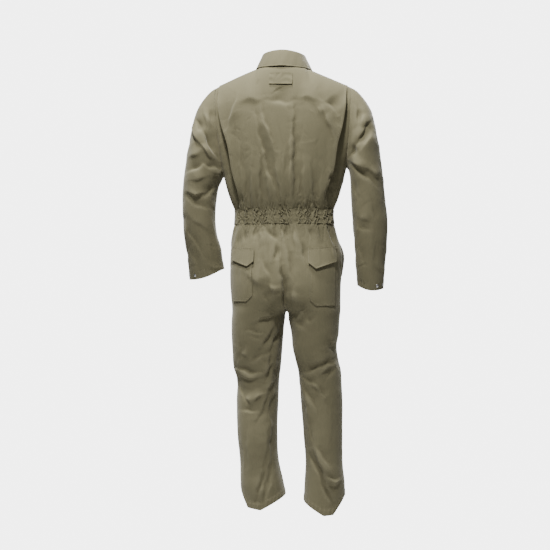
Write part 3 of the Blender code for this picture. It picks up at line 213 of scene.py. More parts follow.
# The larger creases, one by one: from (x0, z0) to (x1, z1) on the side that "face" names, 1 for the back,
# -1 for the front. "wide" is the half width, "lean" makes one flank steeper, "crisp" sharpens the crest.
creaseTable = table(
    "face x0 z0 x1 z1 bow wide lean depth crisp",
    (1, -0.05, -0.126, -0.047, -0.482, 0, 0.01, 0.2, -0.0085, 0.6),
    (1, -0.04, -0.167, -0.033, -0.458, 0, 0.012, 0, 0.0035, 0.2),
    (1, 0.08, -0.151, -0.005, -0.475, 0.006, 0.012, 0.3, -0.009, 0.4),
    (1, 0.069, -0.124, 0.017, -0.274, 0.005, 0.011, -0.2, 0.007, 0.3),
    (1, 0.021, -0.268, -0.009, -0.468, 0.002, 0.01, 0, 0.0035, 0.2),
    (1, 0.066, -0.273, 0.068, -0.481, 0, 0.009, 0.2, -0.007, 0.7),
    (1, 0.149, -0.079, 0.182, -0.194, -0.004, 0.012, 0, 0.006, 0.3),
    (1, -0.14, -0.126, -0.183, -0.249, -0.004, 0.01, 0.3, 0.0072, 0.5),
    (1, -0.123, -0.119, -0.147, -0.16, 0, 0.012, 0, 0.004, 0.3),
    (1, -0.15, -0.101, -0.196, -0.147, -0.004, 0.018, 0, -0.0075, 0.2),
    (1, 0.04, -0.098, -0.046, -0.1, 0.006, 0.024, 0, -0.0075, 0.1),
    (1, 0.119, -0.339, 0.124, -0.48, 0, 0.01, 0, -0.0035, 0.5),
    (1, 0.097, -0.306, 0.102, -0.474, 0, 0.012, 0, 0.003, 0.2),
    (1, -0.11, -0.308, -0.117, -0.481, 0.002, 0.012, 0, -0.0045, 0.4),
    (1, -0.08, -0.275, -0.081, -0.475, 0, 0.014, 0, 0.0035, 0.2),
    (1, -0.14, -0.341, -0.131, -0.474, 0, 0.01, 0, 0.0035, 0.3),
    (1, 0.043, -0.324, 0.039, -0.475, 0, 0.01, 0, 0.0035, 0.3),
    (1, 0.139, -0.237, 0.124, -0.389, 0, 0.013, 0, -0.003, 0.3),
    (1, -0.019, -0.057, 0.029, -0.08, 0, 0.005, 0, -0.0022, 0.7),
    (1, 0.08, -0.024, 0.085, -0.06, 0, 0.006, 0, -0.0015, 0.5),
    (1, -0.066, -0.348, -0.064, -0.458, 0, 0.008, 0, -0.0025, 0.6),
    (1, -0.02, -0.275, -0.014, -0.375, 0, 0.01, 0, -0.0025, 0.4),
    (1, -0.172, -0.345, -0.159, -0.38, 0, 0.008, 0.3, -0.006, 0.7),
    (1, -0.155, -0.38, -0.15, -0.46, 0, 0.007, 0.2, -0.005, 0.7),
    (1, -0.168, -0.386, -0.174, -0.426, 0.002, 0.008, 0.2, -0.0045, 0.7),
    (1, 0.15, -0.412, 0.146, -0.472, 0, 0.009, 0, -0.0035, 0.5),
    (1, 0.052, -0.533, 0.007, -0.581, 0.002, 0.008, 0.3, -0.0065, 0.8),
    (1, -0.006, -0.522, -0.021, -0.577, 0.002, 0.007, 0.2, -0.0065, 0.8),
    (1, -0.021, -0.577, -0.05, -0.72, 0.002, 0.009, 0.2, -0.005, 0.5),
    (1, 0.015, -0.591, 0.018, -0.652, 0, 0.008, 0, -0.0055, 0.4),
    (1, 0.059, -0.642, 0.027, -0.709, 0.002, 0.006, 0.2, -0.0032, 0.7),
    (1, -0.002, -0.652, -0.014, -0.824, -0.003, 0.009, 0.3, -0.011, 0.6),
    (1, 0.027, -0.726, 0.024, -0.76, 0, 0.014, 0, 0.005, 0.2),
    (1, -0.05, -0.746, -0.045, -0.808, 0, 0.014, 0, 0.0055, 0.2),
    (1, -0.068, -0.571, -0.094, -0.672, 0.003, 0.008, 0.3, -0.006, 0.6),
    (1, -0.157, -0.521, -0.184, -0.597, 0.002, 0.009, 0.3, -0.008, 0.7),
    (1, -0.124, -0.529, -0.138, -0.577, 0, 0.007, 0.2, -0.0045, 0.6),
    (1, -0.094, -0.529, -0.105, -0.571, 0, 0.007, 0, -0.004, 0.6),
    (1, 0.091, -0.529, 0.1, -0.577, 0, 0.007, 0, -0.0045, 0.6),
    (1, 0.123, -0.528, 0.125, -0.59, 0, 0.008, 0.2, -0.0045, 0.5),
    (1, 0.15, -0.534, 0.15, -0.61, 0, 0.01, 0, -0.004, 0.4),
    (1, 0.073, -0.543, 0.064, -0.604, 0, 0.01, 0, 0.0038, 0.3),
    (1, -0.044, -0.536, -0.056, -0.611, 0, 0.01, 0, 0.0038, 0.3),
    (1, -0.2, -0.583, -0.208, -0.651, 0, 0.01, 0, 0.004, 0.3),
    (1, 0.062, -0.753, 0.032, -0.794, 0.002, 0.009, 0, -0.003, 0.4),
    (1, -0.067, -0.78, -0.086, -0.841, 0, 0.012, 0, -0.003, 0.3),
    (1, 0.308, -0.146, 0.272, -0.205, 0.002, 0.008, 0.3, -0.0095, 0.8),
    (1, 0.276, -0.196, 0.227, -0.281, 0.003, 0.0075, 0.3, -0.0115, 0.8),
    (1, 0.319, -0.163, 0.275, -0.253, 0.004, 0.011, 0, 0.0085, 0.5),
    (1, 0.279, -0.246, 0.236, -0.293, 0.003, 0.008, 0, 0.007, 0.6),
    (1, 0.269, -0.125, 0.256, -0.197, 0, 0.008, 0, 0.0055, 0.4),
    (1, 0.251, -0.119, 0.243, -0.182, 0, 0.008, 0, -0.004, 0.5),
    (1, 0.333, -0.339, 0.272, -0.311, 0.004, 0.011, 0.2, -0.009, 0.5),
    (1, 0.272, -0.311, 0.216, -0.325, 0.002, 0.009, 0.2, -0.008, 0.5),
    (1, 0.321, -0.285, 0.274, -0.274, 0.002, 0.013, 0, 0.005, 0.3),
    (1, 0.319, -0.368, 0.262, -0.348, 0.004, 0.016, 0, 0.006, 0.3),
    (1, 0.331, -0.412, 0.268, -0.409, 0.003, 0.008, 0.3, 0.0085, 0.6),
    (1, 0.279, -0.427, 0.231, -0.385, 0.003, 0.011, 0.2, -0.0085, 0.4),
    (1, 0.327, -0.43, 0.254, -0.467, 0.003, 0.01, 0.2, -0.0065, 0.5),
    (1, 0.254, -0.443, 0.227, -0.477, 0, 0.012, 0, 0.005, 0.3),
    (1, 0.343, -0.518, 0.263, -0.637, 0.004, 0.01, 0.2, -0.004, 0.5),
    (1, 0.321, -0.485, 0.244, -0.546, 0.004, 0.014, 0, 0.004, 0.3),
    (1, 0.335, -0.595, 0.292, -0.672, 0.002, 0.012, 0, -0.003, 0.4),
    (1, 0.261, -0.54, 0.238, -0.651, -0.002, 0.012, 0, -0.003, 0.3),
    (1, 0.241, -0.354, 0.214, -0.335, 0, 0.01, 0, 0.005, 0.3),
    (1, -0.303, -0.173, -0.284, -0.193, -0.002, 0.0065, 0.3, -0.005, 0.8),
    (1, -0.29, -0.186, -0.25, -0.258, -0.004, 0.0075, 0.3, -0.0085, 0.8),
    (1, -0.25, -0.254, -0.228, -0.296, -0.002, 0.009, 0.3, -0.01, 0.8),
    (1, -0.259, -0.12, -0.258, -0.187, 0, 0.009, 0, -0.006, 0.6),
    (1, -0.277, -0.141, -0.27, -0.197, 0, 0.011, 0, 0.006, 0.4),
    (1, -0.313, -0.193, -0.274, -0.273, -0.004, 0.014, 0, 0.006, 0.3),
    (1, -0.228, -0.306, -0.291, -0.334, 0.002, 0.009, 0, 0.0085, 0.5),
    (1, -0.291, -0.334, -0.337, -0.364, 0.002, 0.008, 0, 0.007, 0.5),
    (1, -0.239, -0.324, -0.331, -0.393, 0.003, 0.01, 0.3, -0.0115, 0.7),
    (1, -0.242, -0.358, -0.26, -0.427, 0.003, 0.014, 0, -0.004, 0.2),
    (1, -0.255, -0.525, -0.314, -0.539, 0.002, 0.016, 0, -0.0045, 0.4),
    (1, -0.259, -0.494, -0.307, -0.506, 0.002, 0.014, 0, 0.004, 0.3),
    (1, -0.307, -0.441, -0.331, -0.515, 0.002, 0.016, 0, -0.003, 0.3),
    (1, -0.266, -0.576, -0.286, -0.679, 0.002, 0.014, 0, -0.0035, 0.4),
    (1, -0.32, -0.563, -0.313, -0.686, -0.002, 0.014, 0, -0.003, 0.3),
    (1, -0.257, -0.706, -0.259, -0.734, 0, 0.004, 0, -0.0018, 0.6),
    (1, -0.268, -0.71, -0.27, -0.741, 0, 0.004, 0, -0.0018, 0.6),
    (1, -0.279, -0.713, -0.278, -0.741, 0, 0.004, 0, -0.0018, 0.6),
    (1, 0.005, -0.83, 0.092, -0.869, 0.003, 0.01, 0.2, -0.0085, 0.5),
    (1, 0.021, -0.871, 0.069, -0.945, -0.003, 0.009, 0.2, -0.008, 0.5),
    (1, 0.006, -0.861, 0.033, -0.95, -0.003, 0.008, 0.2, -0.01, 0.6),
    (1, 0.033, -0.95, 0.058, -1.062, -0.003, 0.009, 0.2, -0.0085, 0.5),
    (1, 0.116, -0.887, 0.058, -0.893, 0, 0.006, 0.2, -0.0045, 0.7),
    (1, 0.106, -0.907, 0.065, -0.91, 0, 0.006, 0, -0.0025, 0.6),
    (1, 0.116, -0.994, 0.041, -0.96, -0.003, 0.01, 0.3, -0.006, 0.5),
    (1, 0.143, -0.963, 0.112, -0.98, 0, 0.01, 0, 0.0045, 0.4),
    (1, 0.162, -1.017, 0.071, -1.028, 0.002, 0.008, 0.3, -0.011, 0.8),
    (1, 0.156, -1.039, 0.068, -1.045, 0.003, 0.01, 0, 0.008, 0.5),
    (1, 0.068, -1.045, 0.035, -0.988, 0.003, 0.009, 0, 0.006, 0.4),
    (1, 0.146, -1.071, 0.109, -1.137, 0.004, 0.01, 0.2, -0.005, 0.3),
    (1, 0.134, -1.111, 0.102, -1.137, -0.002, 0.008, 0, 0.0065, 0.6),
    (1, 0.102, -1.137, 0.055, -1.101, -0.003, 0.008, 0, 0.007, 0.6),
    (1, 0.055, -1.101, 0.03, -1.051, -0.002, 0.007, 0, 0.0075, 0.7),
    (1, 0.146, -1.157, 0.081, -1.161, 0.002, 0.009, 0.2, -0.0045, 0.4),
    (1, 0.039, -1.084, 0.084, -1.195, -0.004, 0.008, 0.2, -0.0065, 0.5),
    (1, 0.025, -1.087, 0.054, -1.192, -0.002, 0.008, 0, -0.0055, 0.5),
    (1, 0.042, -1.207, 0.058, -1.349, -0.003, 0.012, 0.3, -0.0065, 0.4),
    (1, 0.058, -1.349, 0.085, -1.465, -0.002, 0.011, 0.3, -0.0075, 0.5),
    (1, 0.024, -1.334, 0.053, -1.464, -0.003, 0.014, 0, 0.0045, 0.3),
    (1, 0.112, -1.192, 0.109, -1.398, 0, 0.018, 0, 0.004, 0.2),
    (1, 0.142, -0.918, 0.137, -0.994, 0, 0.014, 0, -0.003, 0.3),
    (1, -0.05, -0.842, -0.085, -0.875, 0.002, 0.018, 0, -0.009, 0.2),
    (1, -0.086, -0.841, -0.106, -0.862, 0, 0.01, 0, -0.005, 0.4),
    (1, -0.079, -1.024, -0.131, -1.006, 0.001, 0.01, 0.3, -0.0095, 0.5),
    (1, -0.131, -1.006, -0.188, -0.993, 0.001, 0.009, 0.3, -0.0085, 0.6),
    (1, -0.09, -0.999, -0.177, -0.974, 0, 0.014, 0, 0.005, 0.3),
    (1, -0.148, -1.056, -0.192, -1.01, -0.002, 0.008, 0.3, -0.0065, 0.6),
    (1, -0.125, -1.039, -0.183, -1.001, -0.002, 0.008, 0, 0.0055, 0.5),
    (1, -0.067, -1.039, -0.121, -1.07, 0.002, 0.008, 0.3, -0.0095, 0.7),
    (1, -0.121, -1.07, -0.152, -1.114, 0.002, 0.008, 0.2, -0.007, 0.6),
    (1, -0.074, -1.06, -0.128, -1.168, 0.003, 0.008, 0.3, -0.0085, 0.7),
    (1, -0.097, -1.051, -0.145, -1.107, 0.002, 0.009, 0, 0.006, 0.4),
    (1, -0.081, -1.09, -0.111, -1.162, 0.002, 0.009, 0, 0.0045, 0.4),
    (1, -0.082, -1.151, -0.123, -1.281, 0.004, 0.009, 0.2, -0.0065, 0.5),
    (1, -0.123, -1.281, -0.175, -1.359, 0.003, 0.008, 0.2, -0.006, 0.6),
    (1, -0.088, -1.282, -0.138, -1.393, 0.003, 0.009, 0.3, -0.0085, 0.6),
    (1, -0.138, -1.393, -0.172, -1.474, 0.002, 0.009, 0.3, -0.0085, 0.6),
    (1, -0.11, -1.279, -0.155, -1.379, 0.003, 0.01, 0, 0.006, 0.4),
    (1, -0.145, -1.372, -0.201, -1.394, 0.001, 0.006, 0.3, -0.0055, 0.8),
    (1, -0.148, -1.396, -0.189, -1.442, 0.001, 0.008, 0.2, -0.006, 0.6),
    (1, -0.165, -1.406, -0.201, -1.397, 0.001, 0.008, 0, 0.006, 0.5),
    (1, -0.152, -1.087, -0.165, -1.189, 0, 0.016, 0, -0.003, 0.3),
    (1, -0.165, -0.9, -0.19, -0.937, 0.002, 0.012, 0, 0.0055, 0.3),
    (1, -0.152, -0.934, -0.185, -0.963, 0, 0.014, 0, -0.004, 0.3),
    (1, -0.181, -1.122, -0.175, -1.291, 0, 0.018, 0, -0.003, 0.2),
    (1, 0.006, -0.905, 0.05, -1.12, 0.004, 0.014, -0.2, 0.0085, 0.7),
    (1, 0.047, -1.12, 0.054, -1.4, -0.005, 0.014, -0.2, 0.01, 0.7),
    (1, 0.054, -1.38, 0.08, -1.48, 0, 0.014, -0.2, 0.008, 0.6),
    (1, -0.07, -1.05, -0.115, -1.27, 0.003, 0.014, 0.2, 0.01, 0.7),
    (1, -0.112, -1.25, -0.185, -1.47, 0.004, 0.014, 0.2, 0.01, 0.7),
    (1, -0.02, -0.9, -0.062, -1.04, -0.003, 0.014, 0.2, 0.008, 0.6),
    (1, 0.05, -0.088, 0.15, -0.1, 0, 0.03, -0.2, 0.0065, 0),
    (1, -0.055, -0.086, -0.145, -0.098, 0, 0.03, 0.2, 0.0065, 0),
    (1, 0.12, -0.68, 0.04, -0.73, 0.004, 0.03, 0.2, 0.006, 0),
    (-1, 0.06, -0.3, 0.075, -0.5, 0.004, 0.0115, 0.2, -0.008, 0.5),
    (-1, -0.07, -0.28, -0.08, -0.5, -0.004, 0.0115, 0.2, -0.008, 0.5),
    (-1, 0.19, -0.12, 0.13, -0.3, 0.01, 0.0115, 0.2, -0.008, 0.5),
    (-1, -0.19, -0.12, -0.135, -0.29, -0.01, 0.0115, 0.2, -0.008, 0.5),
    (-1, 0.015, -0.8, 0.12, -0.72, 0.01, 0.0122, 0.2, -0.0094, 0.5),
    (-1, -0.03, -0.8, -0.125, -0.73, -0.01, 0.0122, 0.2, -0.0094, 0.5),
    (-1, 0.03, -1.02, 0.15, -1.04, 0.01, 0.0122, 0.2, -0.0087, 0.5),
    (-1, -0.065, -1.01, -0.18, -1.035, 0.01, 0.0122, 0.2, -0.0087, 0.5),
    (-1, 0.1, -1.25, 0.07, -1.44, 0.006, 0.013, 0.2, -0.0087, 0.5),
    (-1, -0.13, -1.24, -0.15, -1.44, 0.006, 0.013, 0.2, -0.0087, 0.5),
    (-1, 0.33, -0.38, 0.245, -0.42, 0.006, 0.0108, 0.2, -0.0087, 0.5),
    (-1, -0.33, -0.4, -0.245, -0.43, 0.006, 0.0108, 0.2, -0.0087, 0.5),
)


def curve(rows, name, at):
    knots = next(iter(rows.values()))
    values = rows[name]
    slopes = np.gradient(values, knots)
    at = np.clip(np.asarray(at, float), min(knots[0], knots[-1]), max(knots[0], knots[-1]))
    if knots[0] > knots[-1]:
        knots, values, slopes = knots[::-1], values[::-1], slopes[::-1]
    i = np.clip(np.searchsorted(knots, at) - 1, 0, len(knots) - 2)
    step = knots[i + 1] - knots[i]
    u = (at - knots[i]) / step
    rise = values[i] * (1 - u) ** 2 * (1 + 2 * u) + values[i + 1] * u**2 * (3 - 2 * u)
    return rise + step * (slopes[i] * u * (1 - u) ** 2 - slopes[i + 1] * u**2 * (1 - u))


def ease(value):
    value = np.clip(value, 0, 1)
    return value * value * (3 - 2 * value)


def unit(vectors):
    return vectors / np.maximum(np.linalg.norm(vectors, axis=-1, keepdims=True), 1e-12)


def shoulderHeight(x):
    reach = np.abs(x)
    return np.where(x > 0, curve(shoulderLine, "left", reach), curve(shoulderLine, "right", reach))


def topOf(x, face):
    inside = np.clip(np.abs(x) / body["neckHalf"], 0, 1)
    middle = body["neckBackZ"] if face > 0 else body["neckFrontZ"]
    neckSide = shoulderHeight(np.sign(x) * body["neckHalf"])
    neckline = neckSide + (middle - neckSide) * np.sqrt(1 - inside**2)
    return np.where(inside < 1, neckline, shoulderHeight(x))


def torso(angle, z, face):
    width = curve(torsoTable, "halfWidth", z)
    depth = curve(torsoTable, "back" if face > 0 else "front", z)
    cos, sin = np.cos(angle), np.abs(np.sin(angle))
    x = width * np.sign(cos) * np.abs(cos) ** (2 / body["square"])
    flat = depth * sin ** (2 / body["square"])
    bend = np.clip((z - body["shoulderBend"]) / (topOf(x, face) - body["shoulderBend"]), 0, 1)
    rounding = (1 - bend ** body["bendPower"]) ** (1 / body["bendPower"])
    inside = np.clip(np.abs(x) / (body["neckHalf"] * (1 + 0.7 * (1 - bend))), 0, 1)
    neck = (body["neckBack"] if face > 0 else body["neckFront"]) * (1 - inside**2) ** (0.5 + 1.6 * (1 - bend))
    y = neck + (np.maximum(flat, neck) - neck) * rounding
    return np.stack([x, face * y, z + 0 * x], axis=-1)


def angleAt(x, z):
    part = np.clip(np.abs(x) / curve(torsoTable, "halfWidth", z), 0, 1)
    angle = np.arccos(part ** (body["square"] / 2))
    return np.where(x < 0, math.pi - angle, angle)


def turned(angle, side):
    return angle if side == "left" else math.pi - angle


def armholeX(z, side):
    climb = np.clip((z - armpit[side]) / (armholeTop[side] - armpit[side]), 0, 1)
    return curve(torsoTable, "halfWidth", z) - body["armholeInset"] * (1 - (1 - climb) ** 2.5)


def sleeveRing(side, t, turn):
    rows = sleeveTable[side]
    ends = {name: curve(rows, name, t) for name in list(rows)[1:]}
    outward, upward = np.cos(turn), np.sin(turn)
    halfX = (ends["outerX"] - ends["innerX"]) / 2
    halfZ = (ends["outerZ"] - ends["innerZ"]) / 2
    x = ends["innerX"] + halfX * (1 + outward)
    z = ends["innerZ"] + halfZ * (1 + outward)
    depth = np.where(upward > 0, ends["back"], ends["front"])
    y = ends["middle"] + depth * np.sign(upward) * np.abs(upward) ** 0.95
    z = z - 0.012 * np.maximum(upward, 0) ** 2 * ease((t - 0.5) * 2)
    tube = np.stack([sides[side] * x, y + 0 * x, z], axis=-1)
    blend = ease(t / 0.20)[..., None]
    return armholeLoop(side, turn) * (1 - blend) + tube * blend


def armholeLoop(side, turn):
    low, high = armpit[side], armholeTop[side]
    z = low + (high - low) * (1 + np.cos(turn)) / 2
    x = sides[side] * armholeX(z, side)
    back = torso(angleAt(x, z), z, 1)[..., 1]
    front = torso(angleAt(x, z), z, -1)[..., 1]
    y = np.where(np.sin(turn) >= 0, back, front) * ease(np.abs(np.sin(turn)) * 3)
    return np.stack([x, y, z], axis=-1)


def armholeDirection(side, points):
    middle = (armpit[side] + armholeTop[side]) / 2
    half = (armholeTop[side] - armpit[side]) / 2
    up = (points[..., 2] - middle) / half
    return unit(np.stack([0.35 * sides[side] + 0 * up, points[..., 1] / 0.06, up], axis=-1))


def centreX(z):
    return body["centreDrift"] * ease((body["waistLow"] - z) / (body["waistLow"] - body["crotch"]))


def legRing(side, z, part, face):
    sign, rows = sides[side], legTable[side]
    outer, inner = curve(rows, "outer", z), curve(rows, "inner", z)
    middle, half = (outer + inner) / 2, (outer - inner) / 2
    seam = np.maximum(sign * centreX(z), inner)
    reach = np.clip((seam - middle) / half, -1, 1)
    angle = np.arccos(np.sign(reach) * np.abs(reach) ** (body["square"] / 2)) * part
    cos, sin = np.cos(angle), np.sin(angle)
    x = middle + half * np.sign(cos) * np.abs(cos) ** (2 / body["square"])
    depth = curve(rows, "back" if face > 0 else "front", z)
    y = curve(rows, "middle", z) + face * depth * np.abs(sin) ** (2 / body["square"])
    return np.stack([sign * x, y, z + 0 * x], axis=-1)


# Heights of the creases.

noise = np.random.default_rng(7)


def creaseRows(face, where, count, settings):
    # Small creases scattered in a region: where = (a0, a1, z0, z1), a being x, or y on the sides.
    rows = []
    for _ in range(count):
        a = noise.uniform(where[0], where[1])
        z = noise.uniform(where[2], where[3])
        length = noise.uniform(*settings["length"])
        turn = noise.normal(settings["turn"], settings["spread"])
        da, dz = math.cos(turn) * length / 2, math.sin(turn) * length / 2
        deep = noise.uniform(*settings["depth"]) * (1 if noise.random() < settings["raised"] else -1)
        bow = noise.normal(0, settings["bow"])
        wide = noise.uniform(*settings["wide"])
        lean = noise.uniform(-0.3, 0.3)
        rows.append((face, a - da, z - dz, a + da, z + dz, bow, wide, lean, deep, settings["crisp"]))
    return rows


def scattered():
    upright = math.pi / 2
    tucks = {
        "length": (0.03, 0.085), "turn": upright, "spread": 0.10, "depth": (0.0012, 0.0030),
        "raised": 0.45, "bow": 0.001, "wide": (0.0034, 0.0062), "crisp": 0.4,
    }
    long = {
        "length": (0.10, 0.22), "turn": upright, "spread": 0.09, "depth": (0.0008, 0.0022),
        "raised": 0.5, "bow": 0.003, "wide": (0.008, 0.015), "crisp": 0.2,
    }
    across = {
        "length": (0.04, 0.10), "turn": 0.15, "spread": 0.5, "depth": (0.0010, 0.0026),
        "raised": 0.5, "bow": 0.004, "wide": (0.006, 0.012), "crisp": 0.4,
    }
    fine = {
        "length": (0.02, 0.05), "turn": 0.4, "spread": 1.2, "depth": (0.0004, 0.0010),
        "raised": 0.5, "bow": 0.002, "wide": (0.0035, 0.007), "crisp": 0.3,
    }
    faint = {**across, "depth": (0.0006, 0.0016)}
    rows = []
    for face in (1, -1):
        rows += creaseRows(face, (-0.16, 0.16, -0.470, -0.425), 46 if face > 0 else 20, tucks)
        rows += creaseRows(face, (-0.17, 0.17, -0.580, -0.525), 52 if face > 0 else 22, tucks)
        rows += creaseRows(face, (-0.17, 0.17, -0.42, -0.18), 26, long)
        rows += creaseRows(face, (-0.17, 0.17, -0.74, -0.60), 12, long)
        for side in (1, -1):
            arm = sorted((side * 0.22, side * 0.35))
            rows += creaseRows(face, (*arm, -0.50, -0.32), 5, faint)
            rows += creaseRows(face, (*arm, -0.30, -0.12), 4, {**faint, "turn": -0.9 * side})
            rows += creaseRows(face, (*arm, -0.70, -0.50), 6, {**long, "turn": upright - 0.15 * side})
            thigh = sorted((side * 0.02, side * 0.18))
            slack = {**across, "turn": 0.5 * side, "depth": (0.0006, 0.0014)}
            rows += creaseRows(face, (*thigh, -0.98, -0.84), 4, slack)
            rows += creaseRows(face, (*thigh, -1.14, -0.98), 6, faint)
            rows += creaseRows(face, (*thigh, -1.42, -1.14), 10, {**long, "turn": upright + 0.1 * side})
        rows += creaseRows(face, (-0.22, 0.22, -0.45, -0.05), 60, fine)
        rows += creaseRows(face, (-0.34, 0.34, -0.70, -0.10), 60, fine)
        rows += creaseRows(face, (-0.21, 0.21, -1.45, -0.55), 150, fine)
    for face in (2, -2):
        rows += creaseRows(face, (-0.07, 0.07, -0.44, -0.12), 20, {**across, "turn": 0.9})
        rows += creaseRows(face, (-0.08, 0.04, -0.68, -0.42), 12, {**across, "turn": 0.5})
        rows += creaseRows(face, (-0.09, 0.09, -0.62, -0.52), 16, tucks)
        rows += creaseRows(face, (-0.08, 0.08, -1.12, -0.90), 12, across)
        rows += creaseRows(face, (-0.07, 0.07, -1.42, -1.10), 8, long)
        rows += creaseRows(face, (-0.07, 0.07, -1.40, -0.55), 50, fine)
    return table("face x0 z0 x1 z1 bow wide lean depth crisp", *rows)


scatteredTable = scattered()


gather = {"pitch": 0.0118, "depth": 0.0034, "short": 0.010, "long": 0.036}


def gatherWave(x):
    # Uneven pleats that the elastic pulls into the cloth of the back, by their place across it.
    phase = x / gather["pitch"] + 0.42 * np.sin(x * 83 + 1.0) + 0.30 * np.sin(x * 211) + 0.6 * np.sin(x * 19)
    size = 0.78 + 0.22 * np.sin(x * 57 + 2.0 + 1.5 * np.sin(x * 23))
    crest = 1 - 2 * np.abs(np.sin(math.pi * phase)) ** 0.75
    return size * crest + 0.28 * np.cos(2 * math.pi * (phase * 2.37 + 0.3))


def gatherHeight(points, normals):
    x, z = points[..., 0], points[..., 2]
    above, below = z - body["waistTop"], body["waistLow"] - z
    away = np.maximum(np.maximum(above, below), 0)
    patchy = 0.5 + 0.5 * np.sin(x * 131 + 4 * np.sin(x * 37) + np.where(above > 0, 0.0, 2.0))
    reach = gather["short"] + (gather["long"] - gather["short"]) * patchy**2
    wander = 0.0030 * np.sin(z * 190 + 5 * np.sin(x * 47)) + 0.0016 * np.sin(z * 410 + x * 260)
    lean = x * (1 + 0.35 * away) + wander
    fade = np.exp(-((away / reach) ** 1.3)) * ease(normals[..., 1] * 2.2) * (np.abs(x) < 0.205)
    return gather["depth"] * gatherWave(lean) * fade


def zoneStrength(x, z):
    # Folds are shallower on the legs, deeper on the seat's middle and on the upper sleeves.
    if z < -0.82:
        return 0.72
    if -0.70 < z < -0.51 and abs(x) < 0.07:
        return 1.2
    if abs(x) > 0.205:
        return 0.9 if z < -0.30 else 1.15
    return 1.0


foldSettings = {
    "layers": ((creaseTable, 1.15, 0.80), (scatteredTable, 0.65, 0.4)),  # rows, strength, gentle flank
    "steepFlank": 0.42, "rounding": 0.03, "reach": 8,
    "underPlacket": 0.017, "placketFade": 0.03, "placketLow": -0.775,  # flat there, so the placket lies on it
}


def creaseHeight(points, normals, scale=1.0):
    shape = points.shape[:-1]
    x, y, z = (points[..., k].ravel() for k in range(3))
    nx, ny = normals[..., 0].ravel(), normals[..., 1].ravel()
    wz = z + 0.0030 * np.sin(x * 61 + z * 23) + 0.0018 * np.sin(y * 90 + x * 131)
    height = np.zeros(z.shape)
    soft = foldSettings["rounding"]
    for rows, strength, long in foldSettings["layers"]:
        for face, x0, z0, x1, z1, bow, wide, lean, depth, crisp in zip(*rows.values()):
            along = x if abs(face) == 1 else y
            facing = np.sign(face) * (ny if abs(face) == 1 else nx)
            pad = foldSettings["reach"] * wide + abs(bow)
            near = (z > min(z0, z1) - pad) & (z < max(z0, z1) + pad) & (facing > 0)
            near &= (along > min(x0, x1) - pad) & (along < max(x0, x1) + pad)
            at = np.nonzero(near)[0]
            if not len(at):
                continue
            a = along[at] + 0.0022 * np.sin(z[at] * 57 + x0 * 300)
            a = a + 0.0010 * np.sin(z[at] * 149 + z0 * 500)
            b = wz[at]
            length = math.hypot(x1 - x0, z1 - z0)
            ux, uz = (x1 - x0) / length, (z1 - z0) / length
            t = ((a - x0) * ux + (b - z0) * uz) / length
            side = (b - z0) * ux - (a - x0) * uz - bow * 4 * t * (1 - t)
            over = np.maximum(np.maximum(-t, t - 1), 0) * length
            gentle = np.tanh(-side / wide * 3 * (1 if lean >= 0 else -1))
            span = wide * (foldSettings["steepFlank"] + long * (1 + gentle * np.exp(-((over / wide) ** 2))))
            u2 = (side / span) ** 2 + (over / (2 * wide)) ** 2
            power = 0.78 - 0.26 * crisp
            swell = 0.25 + 0.75 * np.sin(math.pi * np.clip(t, 0, 1)) ** 2
            crest = np.exp(soft**power - (u2 + soft) ** power)
            raised = zoneStrength(x0, z0) * strength * depth * swell
            height[at] += raised * ease(facing[at] * 1.7) * crest
    away = ease((np.abs(x) - foldSettings["underPlacket"]) / foldSettings["placketFade"])
    calm = np.where((ny < 0) & (z > foldSettings["placketLow"]), away, 1.0)
    return (height * calm).reshape(shape) * scale + gatherHeight(points, normals)


def normalsOf(points, closed=False):
    across = np.roll(points, -1, 1) - np.roll(points, 1, 1) if closed else np.gradient(points, axis=1)
    return unit(np.cross(across, np.gradient(points, axis=0)))


def creased(points, outward, closed=False, centred=False, extra=None, scale=1.0):
    # Points with the creases raised, the normals of the plain form and the height at each point.
    normals = normalsOf(points, closed)
    if np.sum(normals * outward) < 0:
        normals = -normals
    if centred:
        level = points[:, -1, 2] > body["crotch"] + 0.001
        normals[level, -1] = unit(normals[level, -1] * [0, 1, 1])
    height = creaseHeight(points, normals, scale)
    if extra is not None:
        height = height + extra
    return points + normals * height[..., None], normals, height


# Shells.

def cumulative(points, axis):
    steps = np.linalg.norm(np.diff(points, axis=axis), axis=-1)
    start = np.zeros_like(np.take(steps, [0], axis=axis))
    return np.concatenate([start, np.cumsum(steps, axis=axis)], axis=axis)


def crispness(height):
    # How far the cloth stands above its surroundings, from -1 in a fold's bottom to 1 on its crest; the twill
    # paints shade into the bottoms and wear with a painted highlight onto the crests from it.
    blurred = height
    for _ in range(6):
        padded = np.pad(blurred, 1, mode="edge")
        blurred = (padded[:-2, 1:-1] + padded[2:, 1:-1] + padded[1:-1, :-2] + padded[1:-1, 2:]) / 4
    return np.tanh((height - blurred) / 0.0011) * 0.6 + np.tanh(height / 0.012) * 0.3


